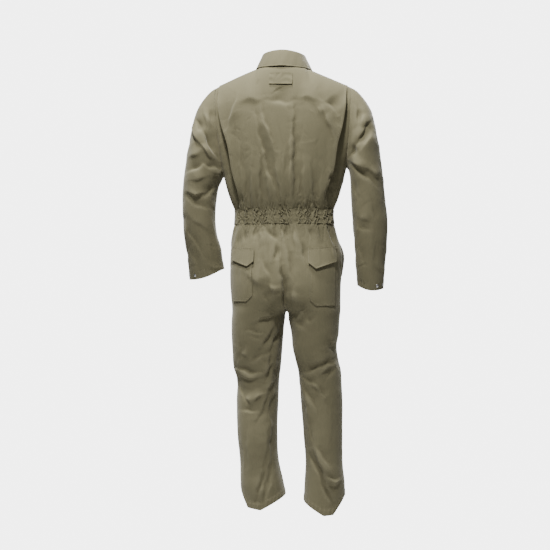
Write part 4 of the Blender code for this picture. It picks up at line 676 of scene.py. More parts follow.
def shell(node, points, normals, height=None, closed=False, lift=0.0, caps=(), thick=None):
    # A thin closed wall round a grid of points, with cloth coordinates in metres, in place of a node.
    thick = thick or cloth["thickness"]
    normals = normals.copy()
    for rows, columns, vectors in caps:
        normals[rows, columns] = unit(np.asarray(vectors, float))
    rows, columns = points.shape[:2]
    middle = points + normals * (lift + cloth["proud"])
    offset = normals * thick / 2
    verts = np.concatenate([(middle + offset).reshape(-1, 3), (middle - offset).reshape(-1, 3)])
    skin = rows * columns
    i, j = np.meshgrid(np.arange(rows - 1), np.arange(columns if closed else columns - 1), indexing="ij")
    i, j = i.ravel(), j.ravel()
    following = (j + 1) % columns
    below, above = i * columns, (i + 1) * columns
    a, b, c, d = below + j, below + following, above + following, above + j
    faces = [np.stack([a, b, c, d], 1), np.stack([a, d, c, b], 1) + skin]
    j = np.arange(columns if closed else columns - 1)
    following = (j + 1) % columns
    faces.append(np.stack([following, j, j + skin, following + skin], 1))
    top = (rows - 1) * columns
    faces.append(np.stack([top + j, top + following, top + following + skin, top + j + skin], 1))
    if not closed:
        i = np.arange(rows - 1) * columns
        faces.append(np.stack([i, i + columns, i + columns + skin, i + skin], 1))
        i = i + columns - 1
        faces.append(np.stack([i + columns, i, i + skin, i + columns + skin], 1))
    faces = np.concatenate(faces)
    va, vb, vc = verts[faces[:, 0]], verts[faces[:, 1]], verts[faces[:, 2]]
    vd = verts[faces[:, 3]]
    if np.sum(va * np.cross(vb, vc)) + np.sum(va * np.cross(vc, vd)) < 0:
        faces = faces[:, ::-1]
    mesh = bpy.data.meshes.new(node + "_cloth")
    mesh.from_pydata(verts.tolist(), [], faces.tolist())
    mesh.shade_smooth()
    mesh.set_sharp_from_angle(angle=math.radians(60))
    across, along = cumulative(points, 1), cumulative(points, 0)
    across = across - across[:, :1] if closed else across - across.mean(axis=1, keepdims=True)
    uv = np.stack([across, along], -1).reshape(-1, 2)
    uv = np.concatenate([uv, uv])
    loops = np.empty(len(mesh.loops), np.int32)
    mesh.loops.foreach_get("vertex_index", loops)
    mesh.uv_layers.new(name="cloth").data.foreach_set("uv", uv[loops].astype(np.float32).ravel())
    # Fold measure for the colour: painted shade in fold bottoms and seam grooves, wear with a painted
    # highlight on crests.
    foldWearAndPaintedLight = np.zeros(skin) if height is None else crispness(height).reshape(-1)
    foldWearAndPaintedLight = np.concatenate([foldWearAndPaintedLight, 0 * foldWearAndPaintedLight]).astype(np.float32)
    mesh.attributes.new("foldWearAndPaintedLight", "FLOAT", "POINT").data.foreach_set("value", foldWearAndPaintedLight)
    return piece(node + "_cloth", mesh, node, twill)


def piece(name, mesh, node, look):
    made = bpy.data.objects.new(name, mesh)
    bpy.context.scene.collection.objects.link(made)
    mesh.materials.append(look)
    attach(made, "root")
    if node:
        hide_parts(*([node] if isinstance(node, str) else node))
    return made


def sheet(made, settings):
    areas = np.empty(len(made.data.polygons))
    made.data.polygons.foreach_get("area", areas)
    print(made.name, "cut", settings["flat"], "measured area", round(areas.sum() / 2, 4))


def pulledIn(points, top=0.0, low=0.0, first=0.0, last=0.0):
    points = points.copy()
    for edge, nearby, amount in ((0, 1, low), (-1, -2, top)):
        points[edge] += unit(points[nearby] - points[edge]) * amount
    for edge, nearby, amount in ((0, 1, first), (-1, -2, last)):
        points[:, edge] += unit(points[:, nearby] - points[:, edge]) * amount
    return points


def spread(count, margin, width):
    # Fractions from 0 to 1, closer within the margin of each end.
    fine = np.array([0, 0.15, 0.32, 0.5, 0.75, 1.0]) * margin / width
    inner = np.linspace(fine[-1], 1 - fine[-1], count - 2 * (len(fine) - 1))
    return np.concatenate([fine[:-1], inner, (1 - fine[:-1])[::-1]])


def bandOf(distance, width, rise, edge=0.0016):
    # Height of a turned and stitched edge, whose cloth is doubled to the given width.
    step = rise * (1 - ease((distance - width) / 0.0020))
    groove = -0.0006 * np.exp(-(((distance - width + edge) / 0.0011) ** 2))
    return step + groove


def heights(columnAngle, low, count, face):
    climb = 1 - (1 - np.linspace(0, 1, count)) ** 1.45
    top = np.full(len(columnAngle(low)), -0.03)
    for _ in range(12):
        top = topOf(torso(columnAngle(top), top, face)[:, 0], face)
    return low + (top - low) * climb[:, None]


def shoulderDirection(points):
    slope = np.gradient(shoulderHeight(points[:, 0]), np.abs(points[:, 0]))
    return np.stack([-slope * np.sign(points[:, 0]), 0 * slope, 1 + 0 * slope], axis=-1)


# Materials.

def newLook(name):
    look = bpy.data.materials.new(name)
    look.use_nodes = True
    return look, look.node_tree.nodes, look.node_tree.links, look.node_tree.nodes["Principled BSDF"]


def setInputs(node, values):
    for name, value in values.items():
        node.inputs[name].default_value = value


def add(nodes, kind, values, **fields):
    node = nodes.new("ShaderNode" + kind)
    for name, value in fields.items():
        setattr(node, name, value)
    setInputs(node, values)
    return node


def combined(nodes, links, kind, first, second):
    node = add(nodes, "Math", {}, operation=kind)
    for slot, value in zip(node.inputs, (first, second)):
        if isinstance(value, (int, float)):
            slot.default_value = value
        else:
            links.new(value, slot)
    return node.outputs[0]


def drawnOutNoise(nodes, links, source, stretch, detail):
    mapping = add(nodes, "Mapping", {"Scale": stretch})
    links.new(source, mapping.inputs["Vector"])
    grain = add(nodes, "TexNoise", {"Scale": 1.0, "Detail": detail})
    links.new(mapping.outputs[0], grain.inputs["Vector"])
    return grain.outputs["Fac"]


def tinted(nodes, links, colour, tint, share):
    mix = add(nodes, "Mix", {}, data_type="RGBA")
    mix.inputs["B"].default_value = (*tint, 1)
    links.new(colour, mix.inputs["A"])
    links.new(share, mix.inputs["Factor"])
    return mix.outputs["Result"]


def roughened(nodes, links, shader, source, least, most):
    shade = add(nodes, "MapRange", {"To Min": least, "To Max": most})
    links.new(source, shade.inputs["Value"])
    links.new(shade.outputs["Result"], shader.inputs["Roughness"])


twillLook = {
    "light": (0.236, 0.214, 0.126), "dark": (0.158, 0.143, 0.081),
    "worn": (0.33, 0.305, 0.205), "deep": (0.095, 0.084, 0.045),  # rubbed wear with a painted highlight on the folds' crests, painted shade in their bottoms
    "wornShare": 0.25, "foldShadeShare": 0.45,
    "wale": 0.00072, "slant": math.radians(58), "weaveBump": 0.16, "weaveDepth": 0.0004,
    "slub": (2600, 500, 1), "streak": (420, 22, 1), "rough": (0.74, 0.92),
    "sheen": 0.30, "sheenRough": 0.45, "sheenTint": (0.92, 0.90, 0.80), "gloss": 0.22,
}


def twillMaterial(name, settings):
    look, nodes, links, shader = newLook(name)
    uv = add(nodes, "UVMap", {}, uv_map="cloth").outputs[0]
    spot = nodes.new("ShaderNodeTexCoord").outputs["Object"]
    turn = add(nodes, "Mapping", {"Rotation": (0, 0, settings["slant"])})
    links.new(uv, turn.inputs["Vector"])
    wales = {"Scale": 0.314 / settings["wale"], "Distortion": 1.2, "Detail": 2.0, "Detail Scale": 1.4}
    wave = add(nodes, "TexWave", wales)
    links.new(turn.outputs[0], wave.inputs["Vector"])
    wave = wave.outputs["Fac"]
    slub = drawnOutNoise(nodes, links, uv, settings["slub"], 2.0)
    streak = drawnOutNoise(nodes, links, uv, settings["streak"], 3.0)
    broad = add(nodes, "TexNoise", {"Scale": 5.0, "Detail": 4.0})
    links.new(spot, broad.inputs["Vector"])

    blend = combined(nodes, links, "MULTIPLY", broad.outputs["Fac"], 0.35)
    for pattern, share in ((streak, 0.25), (slub, 0.30), (wave, 0.15)):
        blend = combined(nodes, links, "ADD", blend, combined(nodes, links, "MULTIPLY", pattern, share))
    base = add(nodes, "Mix", {}, data_type="RGBA")
    base.inputs["A"].default_value = (*settings["dark"], 1)
    base.inputs["B"].default_value = (*settings["light"], 1)
    links.new(blend, base.inputs["Factor"])

    # Painted light from the folds' relief: crests tinted lighter as wear and painted highlight, fold bottoms
    # tinted darker as painted shade.
    foldWearAndPaintedLight = add(nodes, "Attribute", {}, attribute_name="foldWearAndPaintedLight").outputs["Fac"]
    up = combined(nodes, links, "MAXIMUM", foldWearAndPaintedLight, 0.0)
    up = combined(nodes, links, "MULTIPLY", up, settings["wornShare"])
    down = combined(nodes, links, "MULTIPLY", foldWearAndPaintedLight, -1.0)
    down = combined(nodes, links, "MAXIMUM", down, 0.0)
    down = combined(nodes, links, "MULTIPLY", down, settings["foldShadeShare"])
    # The "deep" colour is painted shade in the folds' bottoms; the crest colour is wear with a painted
    # highlight.
    colour = tinted(nodes, links, base.outputs["Result"], settings["worn"], up)
    colour = tinted(nodes, links, colour, settings["deep"], down)
    links.new(colour, shader.inputs["Base Color"])
    roughened(nodes, links, shader, slub, *settings["rough"])

    weave = combined(nodes, links, "MULTIPLY", wave, 0.7)
    weave = combined(nodes, links, "ADD", weave, combined(nodes, links, "MULTIPLY", slub, 0.5))
    bump = add(nodes, "Bump", {"Strength": settings["weaveBump"], "Distance": settings["weaveDepth"]})
    links.new(weave, bump.inputs["Height"])
    links.new(bump.outputs["Normal"], shader.inputs["Normal"])
    setInputs(shader, {
        "Sheen Weight": settings["sheen"],
        "Sheen Roughness": settings["sheenRough"],
        "Sheen Tint": (*settings["sheenTint"], 1),
        "Specular IOR Level": settings["gloss"],
    })
    look.diffuse_color = (*settings["light"], 1)
    return look


def threadMaterial():
    look, nodes, links, shader = newLook("thread")
    fibre = add(nodes, "TexNoise", {"Scale": 900.0})
    roughened(nodes, links, shader, fibre.outputs["Fac"], 0.55, 0.85)
    setInputs(shader, {"Base Color": (0.30, 0.265, 0.165, 1), "Sheen Weight": 0.2})
    return look


def metalMaterial():
    look, nodes, links, shader = newLook("stud_metal_brushed")
    scratch = add(nodes, "TexNoise", {"Scale": 1400.0, "Detail": 3.0})
    roughened(nodes, links, shader, scratch.outputs["Fac"], 0.18, 0.36)
    setInputs(shader, {"Base Color": (0.82, 0.81, 0.78, 1), "Metallic": 1.0})
    return look


twill = twillMaterial("twill_cloth", twillLook)
thread = threadMaterial()
metal = metalMaterial()

# Stitching.

stitch = {"pitch": 0.0034, "length": 0.0025, "width": 0.00055, "height": 0.0003}
stitchPaths = []


def outerLine(points, normals, lift=0.0, thick=None):
    # The line just on the outer face of a shell, for a row of stitches.
    return points + unit(normals) * (lift + cloth["proud"] + (thick or cloth["thickness"]) / 2)


def rowAcross(points, distance, fromTop=False):
    # Row index nearest to a distance from the low or top edge, from the mean cloth length.
    along = cumulative(points, 0).mean(axis=1)
    target = along[-1] - distance if fromTop else distance
    return int(np.argmin(np.abs(along - target)))


def columnAlong(points, distance, fromLast=False):
    across = cumulative(points, 1).mean(axis=0)
    target = across[-1] - distance if fromLast else distance
    return int(np.argmin(np.abs(across - target)))


def addStitches(line, normals, closed=False):
    if closed:
        line, normals = np.concatenate([line, line[:1]]), np.concatenate([normals, normals[:1]])
    stitchPaths.append((line, unit(normals)))


def stitchLine(points, normals, at, closed=False, thick=None):
    addStitches(outerLine(points[at], normals[at], thick=thick), normals[at], closed)


def stitchesObject():
    verts, faces, start = [], [], 0
    template = np.array([[4, 0, 2], [4, 2, 1], [4, 1, 3], [4, 3, 0]])
    for line, normals in stitchPaths:
        run = np.concatenate([[0], np.cumsum(np.linalg.norm(np.diff(line, axis=0), axis=1))])
        count = int(run[-1] / stitch["pitch"])
        if count < 2:
            continue
        centres = (np.arange(count) + 0.5) * stitch["pitch"]

        def at(where, values):
            return np.stack([np.interp(where, run, values[:, k]) for k in range(3)], axis=1)

        head, tail = at(centres + stitch["length"] / 2, line), at(centres - stitch["length"] / 2, line)
        up = unit(at(centres, normals))
        cross = unit(np.cross(head - tail, up)) * stitch["width"] / 2
        centre = (head + tail) / 2
        top = centre + up * stitch["height"]
        block = np.stack([head, tail, centre + cross, centre - cross, top], axis=1)
        verts.append(block.reshape(-1, 3))
        faces.append((template[None] + (start + 5 * np.arange(count))[:, None, None]).reshape(-1, 3))
        start += 5 * count
    mesh = bpy.data.meshes.new("stitching")
    mesh.from_pydata(np.concatenate(verts).tolist(), [], np.concatenate(faces).tolist())
    piece("stitching", mesh, None, thread)
    print("stitching", start // 5, "stitches")


# The body.

backSettings = {
    "flat": (0.56, 0.57), "area": 0.217, "columns": 140, "rows": 190,
    "pleatLift": 0.007, "pleatReach": 0.022, "edgeMargin": 0.012, "width": 0.40,
    "edgeStitches": (0.0025, 0.0088),
}


def backPanel():
    s = spread(backSettings["columns"], backSettings["edgeMargin"], backSettings["width"]) * 2 - 1

    def xAt(z):
        return np.where(s > 0, curve(pleatEdge, "left", z), curve(pleatEdge, "right", z)) * s

    z = heights(lambda z: angleAt(xAt(z), z), body["waistTop"] + cloth["seam"], backSettings["rows"], 1)
    points = torso(angleAt(xAt(z), z), z, 1)
    across = cumulative(points, 1)
    edge = np.minimum(across, across[:, -1:] - across)
    loose = backSettings["pleatLift"] * np.exp(-((edge / backSettings["pleatReach"]) ** 2))
    loose = loose * ease((z - body["waistTop"]) / 0.10) * ease((-0.06 - z) / 0.06)
    extra = bandOf(edge, cloth["fell"], cloth["fellRise"]) + loose
    points, normals, height = creased(points, np.array([0, 1, 0.2]), extra=extra)
    points = pulledIn(points, top=halfSeam)
    caps = [(-1, every, shoulderDirection(points[-1]))]
    made = shell("back_panel", points, normals, height, caps=caps)
    for inset in backSettings["edgeStitches"]:
        for last in (False, True):
            j = columnAlong(points, inset, last)
            stitchLine(points, normals, (every, j))
    i = rowAcross(points, cloth["shoulderStitch"], True)
    stitchLine(points, normals, i)
    sheet(made, backSettings)


sideBackSettings = {
    "left": {"flat": (0.13, 0.50), "area": 0.0407, "sunk": 2.8},  # times the pleat's depth
    "right": {"flat": (0.12, 0.50), "area": 0.0382, "sunk": 1.9},
    "columns": 28, "rows": 180,
}


def sideBack(side):
    sign = sides[side]
    s = np.linspace(0, 1, sideBackSettings["columns"])

    def angles(z):
        pleat = curve(pleatEdge, side, z) - body["pleatUnder"]
        edge = angleAt(armholeX(z, side), z)
        return turned(edge + (angleAt(pleat, z) - edge) * s, side)

    z = heights(angles, body["waistTop"] + cloth["seam"], sideBackSettings["rows"], 1)
    points = torso(angles(z), z, 1)
    pleat = curve(pleatEdge, side, points[..., 2])
    near = ease((sign * points[..., 0] - pleat) / (armholeX(points[..., 2], side) - pleat + 1e-6))
    sunk = sideBackSettings[side]["sunk"] * curve(pleatEdge, "depth", points[..., 2]) * (1 - near) ** 0.8
    hidden = ease((sign * points[..., 0] - pleat + body["pleatUnder"]) / (0.7 * body["pleatUnder"]))
    hidden = hidden * ease((-0.050 - points[..., 2]) / 0.035)
    sunk = sunk * hidden + 0.0016 * (1 - hidden)
    plain = normalsOf(points)
    plain = plain * np.sign(np.sum(plain * [0.3 * sign, 1, 0.2]))
    height = creaseHeight(points, plain, 0.8)
    points = points + plain * (height - sunk)[..., None]
    points = pulledIn(points, top=halfSeam, first=halfSeam)
    seam = armholeDirection(side, points[:, 0])
    seam[points[:, 0, 2] < armpit[side]] = (sign, 0, 0)
    caps = [(-1, every, shoulderDirection(points[-1])), (every, 0, seam)]
    # Painted shade: the colour's fold measure takes the pleat's recess at 1.3 times its sunk depth, so the
    # underlay is coloured darker.
    made = shell(f"side_back_{side}", points, plain, height - sunk * 1.3, caps=caps)
    j = columnAlong(points, cloth["armholeStitch"])
    stitchLine(points, plain, (every, j))
    sheet(made, sideBackSettings[side])


frontSettings = {"flat": (0.32, 0.57), "area": 0.131, "calm": 0.04, "columns": 84, "rows": 150}


def frontPanel(side):
    sign = sides[side]
    s = 1 - np.linspace(1, 0, frontSettings["columns"]) ** 1.25

    def angles(z):
        edge = angleAt(armholeX(z, side), z)
        return turned(edge + (math.pi / 2 - edge) * s, side)

    z = heights(angles, body["waistTop"] + cloth["seam"], frontSettings["rows"], -1)
    points = torso(angles(z), z, -1)
    calm = ease((points[..., 2] - body["waistTop"]) / frontSettings["calm"])  # the edge stays on the band
    points, normals, height = creased(points, np.array([0.1 * sign, -1, 0.2]), centred=True, scale=calm)
    points = pulledIn(points, top=halfSeam, first=halfSeam, last=halfSeam)
    seam = armholeDirection(side, points[:, 0])
    seam[points[:, 0, 2] < armpit[side]] = (sign, 0, 0)
    caps = [
        (-1, every, shoulderDirection(points[-1])),
        (every, 0, seam),
        (every, -1, normals[:, -1] * [0, 1, 1]),
    ]
    made = shell(f"front_{side}", points, normals, height, caps=caps)
    j = columnAlong(points, cloth["armholeStitch"])
    stitchLine(points, normals, (every, j))
    i = rowAcross(points, cloth["shoulderStitch"], True)
    stitchLine(points, normals, i)
    sheet(made, frontSettings)


# Sleeves and cuffs.

sleeveSettings = {
    "left": {"flat": (0.46, 0.66), "area": 0.219}, "right": {"flat": (0.46, 0.67), "area": 0.226},
    "columns": 124, "rows": 176, "stitches": (0.0025, 0.008),
}


def sleeve(side):
    turn = np.linspace(0, 2 * math.pi, sleeveSettings["columns"], endpoint=False)[None, :]
    t = np.linspace(0, 1, sleeveSettings["rows"])[:, None]
    points = sleeveRing(side, t, turn + 0 * t)
    centre = points.mean(axis=1, keepdims=True)
    along = cumulative(points, 0)
    extra = bandOf(along, cloth["fell"], cloth["fellRise"])
    points, normals, height = creased(points, points - centre, closed=True, extra=extra)
    points = pulledIn(points, low=body["armholeGap"], top=halfSeam)
    seam = armholeDirection(side, points[0])
    made = shell(f"sleeve_{side}", points, normals, height, True, caps=[(0, every, seam)])
    for inset in sleeveSettings["stitches"]:
        i = rowAcross(points, inset)
        stitchLine(points, normals, i, True)
    sheet(made, sleeveSettings[side])


cuffSettings = {
    "left": {"flat": (0.362, 0.031)}, "right": {"flat": (0.308, 0.031)},
    "thick": 0.0016, "pucker": 0.0004, "columns": 140, "rows": 16, "stitchRows": (2, 13),
}


def cuff(side):
    turn = np.linspace(0, 2 * math.pi, cuffSettings["columns"], endpoint=False)[None, :]
    t = np.linspace(1, 1.06, cuffSettings["rows"])[:, None]
    points = sleeveRing(side, t, turn + 0 * t)
    along = cumulative(points, 0)
    pucker = cuffSettings["pucker"] * np.sin(turn * 34 + 3 * np.sin(turn * 5)) * ease(along / 0.01)
    centre = points.mean(axis=1, keepdims=True)
    points, normals, height = creased(points, points - centre, closed=True, extra=pucker)
    points = pulledIn(points, low=halfSeam)
    made = shell(f"cuff_{side}", points, normals, height, True, thick=cuffSettings["thick"])
    for i in cuffSettings["stitchRows"]:
        stitchLine(points, normals, i, True, cuffSettings["thick"])
    sheet(made, cuffSettings[side])


# Waistband.

bandSettings = {"flat": (0.62, 0.047), "ease": 1.15, "columns": 360, "rows": 19, "stitchRows": (1, 6, 12, 17)}
frontBandSettings = {"flat": (0.24, 0.046), "columns": 90, "rows": 15, "stitchRows": (1, 13)}


def bandPoints(first, last, columns, rows, gathered):
    angle = np.linspace(first, last, columns)[None, :]
    face = 1 if first >= 0 and last >= 0 else -1
    z = np.linspace(body["waistLow"], body["waistTop"], rows)[:, None]
    points = torso(np.abs(angle) + 0 * z, z + 0 * angle, face)
    normals = normalsOf(points)
    if np.sum(normals[..., 1]) * face < 0:
        normals = -normals
    share = np.linspace(0, 1, rows)[:, None]
    row = np.abs(np.sin(share * math.pi * 3)) ** 0.6
    height = 0 * points[..., 0]
    if gathered:
        height = bandSettings["ease"] * gatherHeight(points, normals) * (0.55 + 0.45 * row)
        x = points[..., 0]  # the band's edges wander outwards, over the panels beside it
        wander = 0.0020 + 0.0014 * np.sin(x * 173 + 3 * np.sin(x * 41)) + 0.0006 * np.sin(x * 517)
        wander = wander * (2 * share - 1)
        points = points + np.stack([0 * wander, 0 * wander, wander], axis=-1)
    proud = body["bandProud"] - (0.0008 * (1 - share) ** 6 + 0.0010 * share**4 if gathered else 0)
    # Painted shade: the colour's fold measure is lowered by up to 1 mm along the band's edges and stitched
    # lines, where the row share is least.
    return points + normals * (proud + height)[..., None], normals, height - 0.0010 * (1 - row)


def waistbandBack():
    points, normals, height = bandPoints(0, math.pi, bandSettings["columns"], bandSettings["rows"], True)
    points = pulledIn(points, first=halfSeam, last=halfSeam)
    caps = [(every, 0, (1, 0, 0)), (every, -1, (-1, 0, 0))]
    made = shell("waistband_back", points, normals, height, caps=caps)
    for i in bandSettings["stitchRows"]:
        stitchLine(points, normals, i)
    sheet(made, bandSettings)


def waistbandFront(side):
    sign = sides[side]
    start = 0 if side == "left" else math.pi
    columns, rows = frontBandSettings["columns"], frontBandSettings["rows"]
    points, normals, height = bandPoints(-start - 1e-9, -math.pi / 2, columns, rows, False)
    points = pulledIn(points, first=halfSeam, last=halfSeam)
    caps = [(every, 0, (sign, 0, 0)), (every, -1, (0, -1, 0))]
    made = shell(f"waistband_front_{side}", points, normals, 0 * height, caps=caps)
    for i in frontBandSettings["stitchRows"]:
        stitchLine(points, normals, i)
    sheet(made, frontBandSettings)


# Legs.

legSettings = {
    "back": {
        "left": {"flat": (0.34, 1.03), "area": 0.258}, "right": {"flat": (0.33, 1.05), "area": 0.258},
        "columns": 92, "rows": 250,
    },
    "front": {
        "left": {"flat": (0.32, 1.02), "area": 0.247}, "right": {"flat": (0.32, 1.04), "area": 0.247},
        "columns": 72, "rows": 200,
    },
    "hem": 0.020, "hemRise": 0.0008, "lowEnd": 0.47,
    "fellRise": 0.0006, "outerStitches": (0.0025, 0.0085), "innerStitch": 0.0035,
}


def legRows(count):
    # Heights from the waist to just above the hem, with one row at the crotch.
    above = np.linspace(body["waistLow"] - cloth["seam"], body["crotch"], int(count * 0.31))
    return np.concatenate([above, np.linspace(body["crotch"], -1.40, int(count * 0.58))[1:]])


def legPoints(side, face, columns, count):
    part = spread(columns, 0.012, 0.30)[None, :]
    rows = legRows(count)[:, None] + 0 * part
    hem, cos = hemLine[side], np.cos(part * math.pi)
    across = (1 - np.sign(cos) * np.abs(cos) ** (2 / body["square"])) / 2
    level = hem["outer"] + (hem["inner"] - hem["outer"]) * across
    drop = hem["back" if face > 0 else "front"] - (hem["inner"] + hem["outer"]) / 2
    edge = level + drop * np.interp(across, (0, hem["corner"], legSettings["lowEnd"], 1), (0, 1, 1, 0))
    left = count - len(rows)
    share = 1 - (1 - np.linspace(0, 1, left + 1)[1:, None]) ** 1.25
    rows = np.concatenate([rows, rows[-1:] + (edge - rows[-1:]) * share])[::-1]
    return legRing(side, rows, part + 0 * rows, face)


def legPanel(side, face):
    sign = sides[side]
    name = "back" if face > 0 else "front"
    settings = legSettings[name]
    points = legPoints(side, face, settings["columns"], settings["rows"])
    across, along = cumulative(points, 1), cumulative(points, 0)
    turnUp = bandOf(along, legSettings["hem"], legSettings["hemRise"])
    rope = 0.0005 * np.sin(across * 420 + along * 160) * np.exp(-(((along - 0.012) / 0.012) ** 2))
    seam = bandOf(across, cloth["fell"], legSettings["fellRise"]) if face > 0 else 0
    extra = turnUp + rope + seam
    points, normals, height = creased(points, np.array([0.2 * sign, face, 0]), centred=True, extra=extra)
    points = pulledIn(points, first=halfSeam, last=halfSeam)
    level = points[:, -1, 2]
    inner = normals[:, -1] * [0, 1, 1]
    inner[level < body["crotch"] - 0.001] = (-sign, 0, 0)
    inner[np.abs(level - body["crotch"]) < 0.001] = (0, 0, -1)
    caps = [(every, 0, (sign, 0, 0)), (every, -1, inner)]
    made = shell(f"leg_{name}_{side}", points, normals, height, caps=caps)
    i = rowAcross(points, legSettings["hem"] - 0.0016)
    stitchLine(points, normals, i)
    if face > 0:
        for inset in legSettings["outerStitches"]:
            j = columnAlong(points, inset)
            stitchLine(points, normals, (every, j))
    j = columnAlong(points, legSettings["innerStitch"], True)
    stitchLine(points, normals, (every, j))
    sheet(made, settings[side])


# Pockets and patches.

def onLeg(side, x, z, face):
    rows = legTable[side]

    def bare(x, z):
        outer, inner = curve(rows, "outer", z), curve(rows, "inner", z)
        reach = np.clip(np.abs(x - (outer + inner) / 2) / ((outer - inner) / 2), 0, 0.999)
        depth = curve(rows, "back" if face > 0 else "front", z)
        y = curve(rows, "middle", z) + face * depth * (1 - reach ** body["square"]) ** (1 / body["square"])
        return np.stack([sides[side] * x, y, z], axis=-1)

    return lifted(bare, x, z, face)


def onBack(x, z):
    return lifted(lambda x, z: torso(angleAt(x, z), z, 1), x, z, 1)


def lifted(bare, x, z, face, scale=1.0):
    small = 1e-4
    point = bare(x, z)
    normal = unit(np.cross(bare(x + small, z) - point, bare(x, z + small) - point))
    normal = normal * np.sign(normal[..., 1:2]) * face
    height = creaseHeight(point, normal, scale)
    return point + normal * height[..., None], normal, height


def patchGrid(corners, columns, rows):
    u = spread(columns, 0.006, 0.07)[None, :, None]
    v = spread(rows, 0.006, 0.09)[:, None, None]
    lowLeft, lowRight, topRight, topLeft = np.array(corners, float)
    grid = (lowLeft * (1 - u) + lowRight * u) * (1 - v) + (topLeft * (1 - u) + topRight * u) * v
    return grid[..., 0], grid[..., 1]


def edgeDistance(points, topToo=True):
    across, along = cumulative(points, 1), cumulative(points, 0)
    distance = np.minimum(across, across[:, -1:] - across)
    distance = np.minimum(distance, along)
    return np.minimum(distance, along[-1:] - along) if topToo else distance


def stitchAround(points, normals, lift, inset, top=True):
    i0, i1 = rowAcross(points, inset), rowAcross(points, inset, True)
    j0, j1 = columnAlong(points, inset), columnAlong(points, inset, True)
    rows = [(i0, slice(j0, j1 + 1))] + ([(i1, slice(j0, j1 + 1))] if top else [])
    for index in rows + [(slice(i0, i1 + 1), j0), (slice(i0, i1 + 1), j1)]:
        addStitches(outerLine(points[index], normals[index], lift, cloth["overlay"]), normals[index])


pocketSettings = {
    "left": {"flat": (0.094, 0.147), "area": 0.0127}, "right": {"flat": (0.105, 0.156), "area": 0.0154},
    "clip": 0.020, "belly": 0.0018, "columns": 36, "rows": 52, "stitches": (0.0018, 0.006),
}


def backPocket(side):
    size, clipWide = backPocketPlace[side], pocketSettings["clip"]
    columns, rows = pocketSettings["columns"], pocketSettings["rows"]
    inner, outer, low, top = (size[name] for name in ("inner", "outer", "low", "top"))
    x, z = patchGrid([(inner, low), (outer, low), (outer, top), (inner, top)], columns, rows)
    clip = np.clip(1 - (x - inner) / clipWide, 0, 1) * clipWide
    z = z + clip * (top - z) / (top - low)
    points, normals, height = onLeg(side, x, z, 1)
    band = bandOf(edgeDistance(points, False), 0.006, 0.0005)
    belly = pocketSettings["belly"] * np.sin(math.pi * np.linspace(0, 1, columns))[None, :]
    belly = belly * np.sin(math.pi * np.linspace(0, 1, rows))[:, None]
    points = points + normals * (band + belly)[..., None]
    made = shell(f"back_pocket_{side}", points, normals, height + band, lift=layer, thick=cloth["overlay"])
    for inset in pocketSettings["stitches"]:
        stitchAround(points, normals, layer, inset, False)
    sheet(made, pocketSettings[side])


flapSettings = {
    "left": {"flat": (0.107, 0.065), "area": 0.0056, "bend": 0.0036, "tip": 0.019},
    "right": {"flat": (0.119, 0.073), "area": 0.0071, "bend": 0.0050, "tip": 0.022},
    "spread": 0.006, "lap": 0.010, "outerLap": 0.005, "rise": 0.008, "tipShare": 0.27,
    "overPocket": 0.0019, "thick": 0.0014, "stitches": (0.002, 0.006),
}


def pocketFlap(side):
    size = backPocketPlace[side]
    inner, outer = size["inner"] - flapSettings["spread"], size["outer"] + flapSettings["spread"] / 2
    corners = [
        (inner, size["top"] - flapSettings["lap"]),
        (outer, size["top"] - flapSettings["outerLap"]),
        (outer, size["flapTop"] + flapSettings["rise"]),
        (inner, size["flapTop"]),
    ]
    x, z = patchGrid(corners, 44, 30)
    tipX = inner + flapSettings["tipShare"] * (outer - inner)
    away = np.where(x < tipX, (tipX - x) / (tipX - inner), (x - tipX) / (outer - tipX))
    share = (z[-1] - z) / (z[-1] - z[0])
    z = z - flapSettings[side]["tip"] * (1 - away) * share
    points, normals, height = onLeg(side, x, z, 1)
    band = bandOf(edgeDistance(points), 0.006, 0.0005)
    wave = 0.45 + 0.55 * np.sin(np.linspace(0.4, 2.9, 44))[None, :] ** 2
    loose = flapSettings[side]["bend"] * share**2 * wave
    points = points + normals * (band + loose)[..., None]
    lift = layer + flapSettings["overPocket"]
    thick = flapSettings["thick"]
    made = shell(f"pocket_flap_{side}", points, normals, height + band, lift=lift, thick=thick)
    for inset in flapSettings["stitches"]:
        stitchAround(points, normals, lift + 0.0003, inset)
    sheet(made, flapSettings[side])


sidePocketSettings = {"flat": (0.024, 0.145), "top": -0.562, "low": -0.700, "bulge": 0.006}


def sidePocket(side):
    sign = sides[side]
    z = np.linspace(sidePocketSettings["low"], sidePocketSettings["top"], 44)[:, None]
    slant = np.linspace(0.10, 0.22, 44)[:, None]
    part = slant + np.linspace(-0.055, 0.055, 14)[None, :]
    points = legRing(side, z + 0 * part, part, -1)
    points, normals, height = creased(points, np.array([sign, -0.6, 0]), scale=0.6)
    bulge = sidePocketSettings["bulge"] * np.sin(math.pi * np.linspace(0, 1, 44)) ** 2
    points = points + normals * (bulge[:, None] * np.linspace(1, 0, 14))[..., None]
    made = shell(f"side_pocket_{side}", points, normals, height, lift=layer, thick=cloth["overlay"])
    stitchAround(points, normals, layer, 0.002)
    sheet(made, sidePocketSettings)


patchSettings = {
    "flat": (0.080, 0.042), "lift": 0.0026,
    "corners": ((-0.039, -0.050), (0.039, -0.048), (0.040, -0.009), (-0.039, -0.010)),
}


